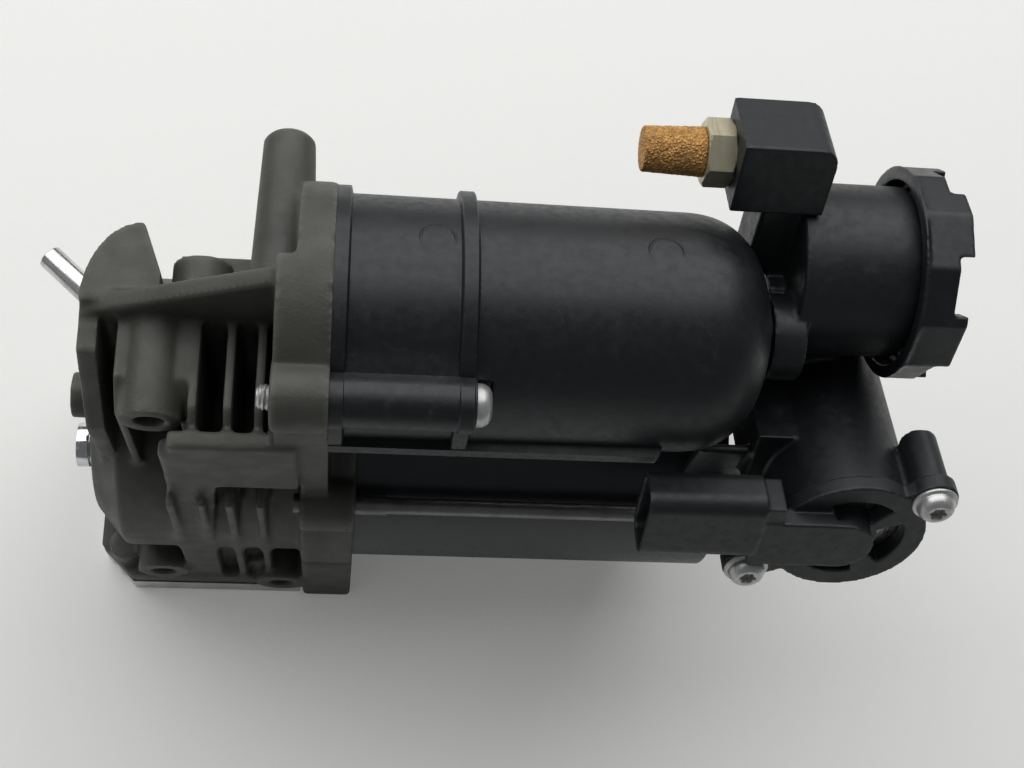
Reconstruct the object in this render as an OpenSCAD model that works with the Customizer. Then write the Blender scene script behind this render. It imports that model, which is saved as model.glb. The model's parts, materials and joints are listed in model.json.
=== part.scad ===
// Air suspension compressor: a motor drives a one-cylinder pump in a ribbed casting,
// a dryer canister lies above the motor and a vent valve closes the far end.
// X runs along the motor and the dryer, Z up from the cylinder head, and the
// mounting bosses face -Y. X = 0 is the plane where the dryer meets the casting.

/* [Layout] */
// Height of the motor and crank axis over the underside of the head
crank_z = 52; // [51:0.5:56]
// Height of the dryer axis over the crank axis
dryer_rise = 74; // [73:0.5:80]
// Distance of the cylinder axis from the dryer joint
cyl_back = 30; // [30:0.5:33]

/* [Cylinder] */
// Bore of the cylinder
bore_d = 40; // [40:0.5:45]
// Wall of the pressed-in liner
liner_wall = 1.5; // [1:0.1:2]
// Crank radius, half the stroke
crank_r = 4; // [3.5:0.1:4.2]
// Centre distance of the connecting rod
rod_len = 22; // [21.5:0.1:22.5]
// Crown thickness of the piston
crown_t = 2.6; // [2.4:0.1:3.2]
// Space left between crown and head at the top of the stroke
crown_gap = 1; // [0.6:0.1:1.2]
// Thickness of the head
head_t = 8; // [7:0.25:9]
// Width of the head across the motor axis
head_w = 76; // [72:0.5:78]

/* [Motor] */
// Outer diameter of the motor can
can_d = 75; // [72:0.5:76]
// Sheet thickness of the can
can_wall = 1.8; // [1.4:0.1:2.4]
// Length of the can
can_len = 92; // [96:0.5:106]
// Radial thickness of the magnets
magnet_t = 6; // [5:0.25:7]
// Gap between armature and magnets
air_gap = 0.7; // [0.5:0.1:1]
// Diameter of the motor shaft
shaft_d = 8; // [7:0.25:9]
// Slots in the armature core
slot_count = 12; // [8:1:16]

/* [Dryer] */
// Outer diameter of the dryer canister at its mouth
dryer_d = 57.6; // [55:0.2:60]
// Wall of the canister
dryer_wall = 2.6; // [2:0.1:3]
// Length of the canister's straight part
dryer_straight = 80; // [76:0.5:90]
// Length of the domed end
dome_len = 22.5; // [18:0.5:26]
// Diameter of the canister screws
lug_screw_d = 6; // [5:0.25:6.5]
// Distance of the screw axes from the dryer axis
lug_reach = 32.2; // [31:0.25:33]

/* [Vent valve] */
// Tilt of the valve block about the motor direction, degrees
vent_tilt = 23; // [21:0.5:25]
// Outer diameter of the solenoid pot
pot_d = 35; // [32:0.5:36]
// Outer diameter of the connector cap's disc
disc_d = 37.8; // [39:0.5:41]
// Outer diameter of the filter cup
cup_d = 42; // [38:0.5:43]
// Outer diameter of the notched cup cap
cap_d = 51.5; // [48:0.5:54]
// Length of the silencer element
silencer_len = 14.6; // [14:0.5:20]

/* [Mounting] */
// Outer diameter of the mounting bosses
boss_d = 14.5; // [13:0.25:15]
// Tapping bore of the M8 mounting threads
boss_bore = 6.8; // [6:0.1:7.4]
// Depth of the mounting threads
boss_depth = 14; // [10:0.5:16]

/* [Detail] */
// Thickness of the casting's fins
fin_t = 2.2; // [1.6:0.1:2.8]
// Thickness of the casting's outer webs
web_t = 4.6; // [4:0.1:5.4]
// Running clearance of turning and sliding fits, radial
run_fit = 0.05; // [0.02:0.01:0.08]
// Free clearance between loosely seated pieces
loose_fit = 0.3; // [0.2:0.05:0.4]

/* [Hidden] */
$fn = 64;
overrun = 1;          // how far a cut runs past the face it opens

// Heights and places that follow from the sizes above
dryer_z = crank_z + dryer_rise;
cyl_x = -cyl_back;
gasket_t = 0.8;
step_t = 0.3;                                      // small step between neighbouring faces
deck_z = head_t + gasket_t;                        // lower face of the casting
crown_z = deck_z + crown_gap;                      // crown face at the top of the stroke
wrist_z = crank_z - crank_r - rod_len;             // wrist pin at the top of the stroke
can_r = can_d / 2;
bore_r = bore_d / 2;
liner_r = bore_r + liner_wall;
dryer_r = dryer_d / 2;

// Casting
upper_half = 30.5;                                 // half width by the dryer
lower_half = head_w / 2;                           // half width by the head
upper_z = dryer_z;                                 // top of the fins
end_x = -58;                                       // outer end of the upper part
end_half = 22;
drum_r = 36.5;                                     // drum round the crank axis
drum_back = 61.5;
drum_taper = 8;
drum_end_r = 27;
edge = 1;                                          // past a face, so that a cut goes through it
barrel_in = 5;
barrel_r = lower_half - barrel_in;
foot_t = 7;
lobe_half = 25;
column_len = 20;
fin_back = 24;
fin_curl = 7;
fin_first = 1;
fin_pitch = 7;
fin_xs = [cyl_x - fin_first, cyl_x + fin_pitch, cyl_x + 2 * fin_pitch];
wall_rise = 24;                                    // of the mid wall towards the flange
horn_x = -44.5;
horn_back = 20.4;
horn_rise = 4;
horn_top = dryer_z + horn_rise;
horn_face = 7.8;
back_boss_in = 1.5;
back_boss_x = cyl_x - back_boss_in;
back_boss_len = 15.5;
panel_out = 9;
panel_x0 = cyl_x - panel_out;
panel_x1 = -7;
bar_drop = 27;
bar_low = upper_z - bar_drop;
window_in = 3;
window_x0 = cyl_x + window_in;
rib_x_shares = [-0.41, -0.04, 0.31, 0.68];         // front ribs, in bore radii from the cylinder
flange_rim = 2.5;
flange_r = dryer_r + flange_rim;                   // round flange that carries the dryer
flange_t = 12.4;
thin_flange_t = 8;
flange_step_y = 2;
ear_rim = 1.6;
motor_flange_in = 7;                               // half the thickness of the motor flange
motor_rim = 2.5;
motor_flange_r = can_r + motor_rim;
chamber_room = 13.5;
chamber_r = crank_r + chamber_room;                // room for the big end's orbit
chamber_in = 6;
chamber_out = 46;
main_brg_r = 11;
main_brg_w = 7;
rod_angle = 39;                                    // tie rods over the horizontal
tie_d = 5;
tie_shank_d = 4.3;
tie_gap = 1;
tie_reach = can_r + tie_d / 2 + tie_gap;
tie_y = tie_reach * cos(rod_angle);
tie_dz = tie_reach * sin(rod_angle);
tie_tip = 1.6;
tie_thread = 8;
ear_r = 7;
boss_r = boss_d / 2;
bolt_room = 1.3;                                   // left free round a mounting bolt
boss1_in = 10.8;
boss1_y = -26;
boss1_drop = 4.8;
boss2_in = 15.7;
boss2_out = 0.4;
boss2_rise = 15;
boss3_in = 17;
boss3_out = 1.4;
boss3_rise = 7.6;
boss1 = [cyl_x - boss1_in, boss1_y, upper_z - boss1_drop]; // the three mounting faces: X, Y, Z
boss2 = [cyl_x - boss2_in, -lower_half - boss2_out, deck_z + boss2_rise];
boss3 = [cyl_x + boss3_in, -lower_half - boss3_out, deck_z + boss3_rise];
spigot_x = -12.3;
spigot_end = 46.8;
spigot_r = 6.3;
spigot_draft = 1.8;
spigot_chamfer = 1.8;

// Head, cover and ports
head_x0 = -65;
head_x1 = -8;
head_corner = 9;
screw_in = 8;
head_screw_d = 6;
head_screw_xs = [head_x0 + screw_in, boss3[0] - boss_bore / 2 - head_screw_d / 2 - bolt_room];
head_screw_head = 4;
head_screw_in = 13;
post_r = 4.8;
liner_short = 8;
liner_len = crank_z - deck_z - liner_short;
valve_share = 0.42;
valve_r = 5.4;
reed_t = 0.3;
cover_r = 13;
cover_t = 3;
cover_rim_w = 2.5;
cover_step = 2;
cover_y = 10;
union_y = -10;
union_drop = 1;
union_z = crank_z - union_drop;
union_r = 6;
union_len = 6.5;
union_seat = 6;
union_step = 1.6;
port_boss_y = -4;
port_boss_dz = 23;
port_boss_r = 5.9;
port_boss_len = 5;
tube_r = 3;
tube_wall = 0.9;
tube_len = 17;
tube_grip = 7;                                     // end that takes the hose
tube_step = 0.2;
tube_x = -55.5;
tube_y = 5.5;
tube_drop = 11;
tube_base = [tube_x, tube_y, upper_z - tube_drop];
tube_turn = 42;                                    // from -X towards +Y

// Crank train
pin_r = 4;
rod_brg_r = 8;
rod_w = 9;
big_end_r = 10.8;
small_end_r = 5;
wrist_r = 2.5;
web_r = 11;
web_gap = 1.2;
crank_web_t = 6;
web_x0 = cyl_x + rod_w / 2 + web_gap;
piston_gap = 0.12;
skirt_wall = 2.6;
skirt_top = wrist_z + small_end_r;
seal_w = 2.4;
seal_t = 1.4;
seal_up = 0.8;
seal_z = crown_z + crown_t + seal_up;

// Inside the motor
can_x0 = motor_flange_in;
can_x1 = can_x0 + can_len;
can_seat = 3;
magnet_r1 = can_r - can_wall;
magnet_r0 = magnet_r1 - magnet_t;
magnet_gap = 16;
magnet_over = 3;
core_r = magnet_r0 - air_gap;
core_in = 22;
core_out = 34;
core_x0 = can_x0 + core_in;
core_x1 = can_x1 - core_out;
slot_r = 1.9;
wind_len = 9;
comm_r = 11;
wind_gap = 1;
wind_out = 1;
slot_liner = 0.1;
comm_x0 = core_x1 + wind_len + wind_gap;
comm_len = 10;
brush_w = 6;
brush_x = comm_x0 + comm_len / 2;
brush_len = 9;
brush_wire_r = 0.35;
brush_turns = 4;
brush_back = 2;
brush_end = magnet_r0 - brush_back;
holder_t = 3;
holder_gap = 2;
holder_x0 = comm_x0 + comm_len + wind_gap;
end_cap_t = 4.5;
rear_brg_r = 9.5;
rear_brg_w = 6;

// Dryer
ring_rim = 2;
ring_r = dryer_r + ring_rim;
ring1_w = 3.3;
ring2_x0 = 27.8;
ring2_w = 3.8;
lug_r = 6;
lug_end = ring2_x0 + ring2_w + 2 * step_t;
spot_x = lug_end - step_t;                         // seat of a screw head
lug_angles = [56, 146, 236];                       // screw lugs, from +Z towards -Y
lug_head_r = 5;
lug_rim_t = 2;
lug_head_t = 3.6;
screw_tip = 4;
ledge_drop = 2;
ledge_t = 3.4;
ledge_out = 2.2;
ledge_reach = dryer_r + ledge_out;
draft_share = 0.985;                               // small end of the canister over its mouth
stub_r = 8;
stub_x0 = dryer_straight + dome_len + loose_fit;
stub_len = 5.7;
motor_room = 4.8;                                  // left free between the motor's end and the valve
stub_x1 = max(stub_x0 + stub_len, can_x1 + end_cap_t + motor_room);
bed_x0 = 16;
bed_end = 6;
dryer_wire_r = 0.9;
dryer_turns = 2;
bed_x1 = dryer_straight - bed_end;
pad_t = 4;

// Vent valve, in its tilted frame: n is the distance along the solenoid, u along the neck
cup_y = 18.5;                                      // cup axis before the tilt
cup_n = -cup_y * cos(vent_tilt) + dryer_z * sin(vent_tilt);
cup_u = cup_y * sin(vent_tilt) + dryer_z * cos(vent_tilt);
cap_r = cap_d / 2;
cap_min_wall = 4;
cup_r = min(cup_d / 2, cap_r - cap_min_wall);
cup_wall = 2.4;
cup_x0 = stub_x1;
cup_len = 28;
cup_x1 = cup_x0 + cup_len;
pot_out = 17.7;                                    // from the cup's near end to the solenoid's axis
pot_x = cup_x0 + pot_out;
pot_r = pot_d / 2;
pot_wall = 2.4;
pot_drop = 41;
pot_u = cup_u - pot_drop;
pot_back = 1;
pot_n0 = cup_n - pot_back;
pot_len = 48;
pot_n1 = pot_n0 + pot_len;
body_back = 4.3;
body_x0 = stub_x1 - body_back;
body_w = 9;
web_len = 32;
web_n = pot_n0 + web_len;
tab_len = 17.5;
tab_x0 = stub_x1 - tab_len;
tab_y = -23;
neck_back = 10;
neck_x0 = stub_x1 - neck_back;
neck_w = 13;
neck_drop = 11;
neck_n0 = cup_n - neck_drop;
neck_rise = 3;
neck_n1 = cup_n + neck_rise;
plunger_r = 5;
plunger_travel = 1.5;
coil_back = 14;
coil_front = 3;
core_len = 12;
seat_len = 8;
coil_n0 = pot_n0 + coil_back;
coil_n1 = pot_n1 - coil_front;
core_n0 = coil_n1 - core_len;
seat_n1 = pot_n0 + seat_len;
spring_len = 5;
spring_wire_r = 0.35;
disc_r = disc_d / 2;
disc_t = 4.2;
rim_w = 5.3;
window_w = 6.6;
window_sweep = 70;
window_angles = [86, -9, -108];
vent_lug_r = 4.6;
ear_vent_r = 5.8;
vent_lug_len = 15;
vent_screw_d = 5;
washer_t = 1;
pan_t = 2.6;
pan_top = 3.8;
pan_recess = 2;
lug1_x = 17.2;
lug1_u = 14.8;
lug2_x = -22.7;
lug2_u = -12.7;
lug1 = [lug1_x, lug1_u];                           // cap screws from the pot's axis: X and u
lug2 = [lug2_x, lug2_u];
tongue_r = 7.9;
tongue_t = 4.4;
tongue_n = pot_n1 + disc_t + tongue_t;
tongue_rise = 1.8;
tongue_u = pot_u + tongue_rise;
tongue_back = 3.2;
tongue_x = pot_x - tongue_back;
shell_len = 28;
shell_back = 23.7;                                 // from the solenoid's axis to the shell's closed end
shell_x1 = pot_x - shell_back;
shell_x0 = shell_x1 - shell_len;
shell_round = 4;
shell_neck = 4.5;
shell_out = 9;
shell_t = 12;
shell_n1 = pot_n1 + shell_out;
shell_n0 = shell_n1 - shell_t;
shell_n = (shell_n0 + shell_n1) / 2;
shell_h = 21;
shell_rise = 4.2;
shell_u = tongue_u + shell_rise;
shell_wall = 1.6;
shell_depth = 20;
pin_t = 0.8;
pin_w = 2.8;
pin_pitch = 8;
pin_root = 6;
cap_lap = 1.4;
cap_lip = 1.4;
cap_x0 = cup_x1 - cap_lap;
cap_len = 12.2;
cap_seat = 5;
cap_step = 2.6;
cap_recess = 4;
notch_first = 54;
notch_turn = 73;                                    // from one notch to the next
notch_count = 5;
notch_w = 13.9;
notch_depth = 3.6;
cap_corner_share = 1.015;
cap_bead = 0.8;                                    // round edge at the cap's back
cap_turn = 15;
block_back = 18.5;
block_len = 22;
block_drop = 13;
block_w = 18.5;
block_x0 = stub_x1 - block_back;
block_x1 = block_x0 + block_len;
block_n0 = cup_n - block_drop;
block_n1 = block_n0 + block_w;
silencer_n = 7.5;
block_n = block_n0 + silencer_n;
block_u0 = cup_u + cup_r + loose_fit;
block_h = 18.9;
block_u1 = block_u0 + block_h;
block_round = 4.5;
silencer_h = 8.3;
silencer_u = block_u0 + silencer_h;
silencer_r = 5.8;
hex_r = 8.1;
hex_len = 6.5;
hex_seat = 8;

module along_x(x0, x1) {
    translate([x0, 0, 0]) rotate([90, 0, 90]) linear_extrude(x1 - x0) children();
}
module along_y(y0, y1) {
    translate([0, y1, 0]) rotate([90, 0, 0]) linear_extrude(y1 - y0) children();
}
module along_z(z0, z1) {
    translate([0, 0, z0]) linear_extrude(z1 - z0) children();
}
module rod_x(x0, x1, r, y = 0, z = 0) {
    translate([x0, y, z]) rotate([0, 90, 0]) cylinder(h = x1 - x0, r = r);
}
module rod_y(y0, y1, r, x = 0, z = 0) {
    translate([x, y1, z]) rotate([90, 0, 0]) cylinder(h = y1 - y0, r = r);
}
module box(x0, x1, y0, y1, z0, z1) {
    translate([x0, y0, z0]) cube([x1 - x0, y1 - y0, z1 - z0]);
}
module ring(h, r_out, r_in) {
    difference() {
        cylinder(h = h, r = r_out);
        translate([0, 0, -overrun]) cylinder(h = h + 2 * overrun, r = r_in);
    }
}
module ring_x(x0, x1, r_out, r_in) {
    translate([x0, 0, 0]) rotate([0, 90, 0]) ring(x1 - x0, r_out, r_in);
}
module at_crank() {
    translate([0, 0, crank_z]) children();
}
module at_tube() {
    translate(tube_base) rotate([0, -90, -tube_turn]) children();
}
module at_dryer() {
    translate([0, 0, dryer_z]) children();
}
module lug_places() {
    for (a = lug_angles) rotate([a, 0, 0]) translate([0, 0, lug_reach]) children();
}
module tie_places() {
    for (s = [-1, 1]) translate([0, s * tie_y, -s * tie_dz]) children();
}
module head_screw_places() {
    for (x = head_screw_xs, s = [-1, 1])
        translate([x, s * (lower_half - screw_in), 0]) children();
}
// The vent valve's frame: its -Y looks along the solenoid, its Z along the silencer block's neck
module tilted() {
    rotate([-vent_tilt, 0, 0]) children();
}
// A wire wound on a helix along Z, swept as rings of points
function helix_point(r, rise, turns, t) = [r * cos(360 * turns * t), r * sin(360 * turns * t), rise * t];
module helix(r, wire_r, rise, turns, steps = 14, sides = 6) {
    n = ceil(turns * steps);
    slope = atan(rise / (2 * PI * r * turns));
    points = [for (i = [0:n], k = [0:sides - 1])
        let (a = 360 * turns * i / n, b = 360 * k / sides, c = helix_point(r, rise, turns, i / n))
        c + wire_r * (cos(b) * [cos(a), sin(a), 0] + sin(b) * [sin(slope) * sin(a),
            -sin(slope) * cos(a), cos(slope)])];
    sides_faces = [for (i = [0:n - 1], k = [0:sides - 1])
        let (a = i * sides + k, b = i * sides + (k + 1) % sides) [a, a + sides, b + sides, b]];
    tris = [for (f = sides_faces, h = [0, 1]) h == 0 ? [f[0], f[1], f[2]] : [f[0], f[2], f[3]]];
    cap0 = [for (k = [1:sides - 2]) [0, k, k + 1]];
    cap1 = [for (k = [1:sides - 2]) [n * sides, n * sides + k + 1, n * sides + k]];
    polyhedron(points = points, faces = concat(tris, cap0, cap1));
}

// Outline of the foot and of the head, with its two cut corners
module foot(z0, z1) {
    along_z(z0, z1)
        polygon([[head_x0, -lower_half + head_corner], [head_x0 + head_corner, -lower_half],
                 [head_x1, -lower_half], [head_x1, lower_half],
                 [head_x0 + head_corner, lower_half], [head_x0, lower_half - head_corner]]);
}

function rib_x(i) = cyl_x + rib_x_shares[i] * bore_r;

// Crankcase casting
module fin(x, front) {
    along_x(x - fin_t / 2, x + fin_t / 2)
        polygon([[fin_back, crank_z], [fin_back, bar_low], [web_t, upper_z],
                 [-front + fin_curl, upper_z], [-front, upper_z - fin_curl], [-front, crank_z]]);
}
module mid_wall() {
    along_y(-web_t / 2, web_t / 2)
        polygon([[end_x, crank_z], [end_x, upper_z + edge], [-flange_t, upper_z + wall_rise],
            [-flange_t, crank_z]]);
}
module end_wall() {
    along_x(end_x, end_x + web_t)
        polygon([[-end_half, crank_z], [-end_half, upper_z - wall_rise], [-end_half / 2, upper_z],
                 [web_t / 2, upper_z + edge], [web_t / 2, crank_z]]);
}
module horn() {
    difference() {
        along_z(crank_z + drum_r / 2, horn_top) horn_plan(0);
        along_z(crank_z, horn_top - web_t) intersection() {
            horn_plan(web_t);
            translate([end_x, 0]) square([-end_x, horn_back]);
        }
    }
}
// Quarter of an oval seen from above, with its face towards the flange
module horn_plan(wall) {
    steps = 10;
    rx = horn_x - end_x - wall;
    ry = horn_back - wall;
    arc = [for (i = [0:steps]) [horn_x - rx * cos(90 * i / steps), ry * sin(90 * i / steps)]];
    polygon(concat(arc, [[horn_x + web_t - wall, horn_face], [horn_x + web_t - wall, 0]]));
}
module upper_casting() {
    mid_wall();
    end_wall();
    horn();
    for (x = fin_xs) fin(x, upper_half);
    for (s = [-1, 1]) fin(boss1[0] + s * boss_r, -boss1[1] - fin_t);
    rod_y(boss1[1], 0, boss_r, boss1[0], boss1[2]);
    // round boss behind the mid wall
    rod_y(0, back_boss_len, boss_r, back_boss_x, upper_z - boss_r - fin_t);
    // bar across the fins' ends, and the panel that leans out from it to the foot
    box(panel_x0, panel_x1, -upper_half - fin_t, -upper_half + web_t - fin_t, bar_low, upper_z - fin_t);
    intersection() {
        along_x(panel_x0, panel_x1)
            polygon([[-upper_half - fin_t, bar_low + web_t], [-lower_half + edge, crank_z],
                [-lower_half + edge, deck_z],
                     [-lower_half + web_t, deck_z], [-lower_half + web_t + edge, crank_z],
                     [-upper_half + web_t - fin_t, bar_low + web_t]]);
        along_y(-lower_half - overrun, 0)
            polygon([[panel_x0, bar_low + web_t], [panel_x0, bar_low], [rib_x(0) - fin_t, deck_z],
                     [rib_x(1) - fin_t, deck_z], [window_x0, bar_low - web_t], [panel_x1, bar_low - web_t],
                     [panel_x1, bar_low + web_t]]);
    }
    // bar along the back
    box(panel_x0, panel_x1, fin_back - web_t, fin_back, crank_z, bar_low + web_t);
}
module flanges() {
    rod_x(-thin_flange_t, 0, flange_r, 0, dryer_z);
    intersection() {
        rod_x(-flange_t, 0, flange_r, 0, dryer_z);
        box(-flange_t, 0, -flange_r, flange_step_y, crank_z, dryer_z + flange_r);
    }
    at_dryer() lug_places() rod_x(-flange_t - step_t, 0, lug_r + ear_rim);
    // web between the two flanges
    box(-motor_flange_in, 0, -flange_r, flange_r, crank_z, dryer_z);
    rod_x(-motor_flange_in, motor_flange_in, motor_flange_r, 0, crank_z);
    box(-motor_flange_in, motor_flange_in, -lower_half - edge, lower_half + edge, 0, crank_z - tie_dz / 2);
    at_crank() tie_places() rod_x(-motor_flange_in, motor_flange_in, ear_r);
    // spigot boss to the rear, with a chamfered end
    translate([spigot_x, 0, dryer_z]) rotate([-90, 0, 0]) {
        cylinder(h = spigot_end - spigot_chamfer, r1 = spigot_r + spigot_draft, r2 = spigot_r);
        translate([0, 0, spigot_end - spigot_chamfer])
            cylinder(h = spigot_chamfer, r1 = spigot_r, r2 = spigot_r - spigot_chamfer);
    }
}
module lower_casting() {
    rod_x(drum_taper - drum_back, 0, drum_r, 0, crank_z);
    translate([-drum_back, 0, crank_z]) rotate([0, 90, 0]) cylinder(h = drum_taper, r1 = drum_end_r,
        r2 = drum_r);
    translate([cyl_x, 0, deck_z]) cylinder(h = crank_z - deck_z, r = barrel_r);
    foot(deck_z, deck_z + foot_t);
    for (s = rib_x_shares) {
        x = cyl_x + s * bore_r;
        box(x - fin_t / 2, x + fin_t / 2, -lower_half + edge, 0, deck_z, bar_low - 2 * web_t);
    }
    head_screw_places() translate([0, 0, deck_z]) cylinder(h = head_screw_in + edge, r = post_r);
    rod_y(boss2[1], boss2[1] + column_len, boss_r, boss2[0], boss2[2]);
    rod_y(boss3[1], boss3[1] + column_len, boss_r, boss3[0], boss3[2]);
    // lobes of the outer end: the cover's rim, the port boss and the union's seat
    rod_x(-drum_back - cover_rim_w, -drum_back, cover_r + cover_rim_w, cover_y, crank_z);
    rod_x(-drum_back - port_boss_len, -drum_back, port_boss_r, port_boss_y, crank_z + port_boss_dz);
    box(-drum_back, cyl_x, -lobe_half, lobe_half, deck_z, crank_z);
}
module crankcase_casting() color("#4a483f") {
    difference() {
        union() {
            upper_casting();
            flanges();
            lower_casting();
        }
        // crank chamber, bearing seat and the way through for the shaft
        rod_x(-chamber_out, -chamber_in, chamber_r, 0, crank_z);
        rod_x(-chamber_in - overrun, motor_flange_in + overrun, shaft_d / 2 + web_gap, 0, crank_z);
        rod_x(-chamber_in - overrun, main_brg_w - chamber_in, main_brg_r, 0, crank_z);
        // recess for the can, open to the motor
        rod_x(can_x0 - can_seat, can_x0 + overrun, can_r, 0, crank_z);
        rod_x(main_brg_w - chamber_in + edge, can_x0 + overrun, magnet_r0, 0, crank_z);
        // opening under the cover
        rod_x(-drum_back - cover_rim_w - overrun, -chamber_out + overrun, cover_r - cover_step,
            cover_y, crank_z);
        rod_x(-drum_back - cover_rim_w - overrun, cover_t - drum_back - cover_rim_w, cover_r, cover_y,
            crank_z);
        // liner seat and the bore into the chamber
        translate([cyl_x, 0, deck_z - overrun]) cylinder(h = liner_len + overrun, r = liner_r);
        translate([cyl_x, 0, deck_z]) cylinder(h = crank_z - deck_z, r = chamber_r);
        for (b = [boss1, boss2, boss3]) rod_y(b[1] - overrun, b[1] + boss_depth, boss_bore / 2, b[0], b[2]);
        // way of the upper bolt past the bar
        rod_y(-lower_half - overrun, boss1[1], boss_bore / 2 + bolt_room, boss1[0], boss1[2]);
        head_screw_places() translate([0, 0, deck_z - overrun]) cylinder(h = head_screw_in + overrun,
            r = head_screw_d / 2);
        at_crank() tie_places() rod_x(-motor_flange_in - overrun, motor_flange_in + overrun, tie_d / 2);
        at_dryer() lug_places() rod_x(-flange_t - screw_tip - overrun, overrun, lug_screw_d / 2);
        // air passage into the dryer
        rod_x(overrun - thin_flange_t, overrun, dryer_r - 3 * dryer_wall, 0, dryer_z);
        // window in the front panel, and the union's bore
        rod_x(-drum_back - overrun, -drum_back + union_seat, union_r - union_step, union_y, union_z);
        rod_x(-drum_back - union_len, -drum_back, union_r, union_y, union_z);
        at_tube() cylinder(h = tube_len, r = tube_r - tube_step);
        // nothing reaches below the deck beside the motor flange
        box(head_x0 - overrun, -motor_flange_in, -lower_half - column_len, lower_half + overrun,
            -overrun, deck_z);
    }
}
module crankcase_cover() color("#55544c") {
    at_crank() difference() {
        rod_x(-drum_back - cover_rim_w, cover_t - drum_back - cover_rim_w, cover_r, cover_y);
        rod_x(-drum_back - cover_rim_w - overrun, edge - drum_back - cover_rim_w, cover_r - cover_t,
            cover_y);
    }
}
module pressure_union() color("#dfe1e3") {
    translate([0, union_y, union_z]) difference() {
        union() {
            rod_x(-drum_back - union_len, -drum_back, union_r);
            rod_x(-drum_back, -drum_back + union_seat, union_r - union_step);
        }
        rod_x(-drum_back - union_len - overrun, -drum_back + union_seat + overrun,
            union_r - 2 * union_step);
    }
}
module outlet_tube() color("#d5d8da") {
    at_tube() difference() {
        union() {
            cylinder(h = tube_len, r = tube_r - tube_step);
            translate([0, 0, tube_len - tube_grip]) cylinder(h = tube_grip, r = tube_r);
        }
        translate([0, 0, -overrun]) cylinder(h = tube_len + 2 * overrun, r = tube_r - tube_wall);
    }
}

// Head
module cylinder_liner() color("silver") {
    translate([cyl_x, 0, deck_z]) ring(liner_len, liner_r, bore_r);
}
module head_gasket() color("#55524c") {
    difference() {
        foot(head_t, deck_z);
        translate([cyl_x, 0, head_t - overrun]) cylinder(h = gasket_t + 2 * overrun, r = bore_r);
        head_screw_places() translate([0, 0, head_t - overrun])
            cylinder(h = gasket_t + 2 * overrun, r = head_screw_d / 2 + loose_fit);
    }
}
module valve_places() {
    for (s = [-1, 1]) translate([cyl_x, s * bore_r * valve_share, 0]) children();
}
module cylinder_head() color("#c9cbcc") {
    difference() {
        foot(0, head_t);
        head_screw_places() {
            translate([0, 0, -overrun]) cylinder(h = head_t + 2 * overrun,
                r = head_screw_d / 2 + loose_fit);
            translate([0, 0, -overrun]) cylinder(h = head_screw_head + overrun, r = head_screw_d);
        }
        valve_places() translate([0, 0, head_t / 2]) cylinder(h = head_t, r = valve_r - fin_t / 2);
        // flow channels from the valves to the edges
        valve_places() rod_x(0, -cyl_x, fin_t / 2, 0, head_t / 2 + fin_t / 2);
    }
}
module reed_valves() color("#9aa0a6") {
    valve_places() along_z(head_t, head_t + reed_t) {
        circle(r = valve_r);
        translate([0, -valve_r / 2]) square([bore_r * 0.7, valve_r]);
    }
}
module head_screws() color("#8f9498") {
    head_screw_places() difference() {
        union() {
            cylinder(h = head_screw_head, r = head_screw_d * 0.85);
            cylinder(h = deck_z + head_screw_in - edge, r = head_screw_d / 2);
        }
        translate([0, 0, -overrun]) cylinder(h = head_screw_head / 2 + overrun,
            r = head_screw_d * 0.45, $fn = 6);
    }
}

// Crank train, drawn with the piston at the top of its stroke
module main_bearing() color("#b9bdc0") {
    at_crank() ring_x(-chamber_in, main_brg_w - chamber_in, main_brg_r, shaft_d / 2 + run_fit);
}
module motor_shaft() color("#a9adb0") {
    rod_x(web_x0 + crank_web_t / 2, can_x1 + end_cap_t, shaft_d / 2, 0, crank_z);
}
module crank() color("#8c8f92") {
    at_crank() {
        difference() {
            rod_x(web_x0, web_x0 + crank_web_t, web_r);
            rod_x(web_x0 + crank_web_t / 2, web_x0 + crank_web_t + overrun, shaft_d / 2);
        }
        rod_x(cyl_x - rod_w / 2 - web_gap / 2, web_x0 + crank_web_t / 4, pin_r, 0, -crank_r);
    }
}
module piston() color("#b7babd") {
    difference() {
        translate([cyl_x, 0, crown_z]) cylinder(h = skirt_top - crown_z, r = bore_r - piston_gap);
        difference() {
            translate([cyl_x, 0, crown_z + crown_t])
                cylinder(h = skirt_top, r = bore_r - piston_gap - skirt_wall);
            for (s = [-1, 1])
                box(cyl_x + (s - 1) * bore_r / 2 + s * (rod_w / 2 + web_gap),
                    cyl_x + (s + 1) * bore_r / 2 + s * (rod_w / 2 + web_gap),
                    -small_end_r, small_end_r, crown_z, wrist_z + small_end_r);
        }
        translate([cyl_x, 0, seal_z]) ring(seal_w, bore_r + overrun, bore_r - seal_t);
        rod_x(cyl_x - bore_r + seal_t, cyl_x + bore_r - seal_t, wrist_r + run_fit, 0, wrist_z);
    }
}
module rod_bearing() color("#b9bdc0") {
    translate([0, 0, crank_z - crank_r]) ring_x(cyl_x - rod_w / 2, cyl_x + rod_w / 2, rod_brg_r,
        pin_r + run_fit);
}
module connecting_rod() color("#9b9ea1") {
    pin_z = crank_z - crank_r;
    difference() {
        union() {
            rod_x(cyl_x - rod_w / 2, cyl_x + rod_w / 2, big_end_r, 0, pin_z);
            rod_x(cyl_x - rod_w / 2, cyl_x + rod_w / 2, small_end_r, 0, wrist_z);
            box(cyl_x - rod_w / 4, cyl_x + rod_w / 4, -small_end_r * 0.8, small_end_r * 0.8, wrist_z,
                pin_z);
        }
        rod_x(cyl_x - rod_w, cyl_x + rod_w, rod_brg_r, 0, pin_z);
        rod_x(cyl_x - rod_w, cyl_x + rod_w, wrist_r, 0, wrist_z);
    }
}
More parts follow.
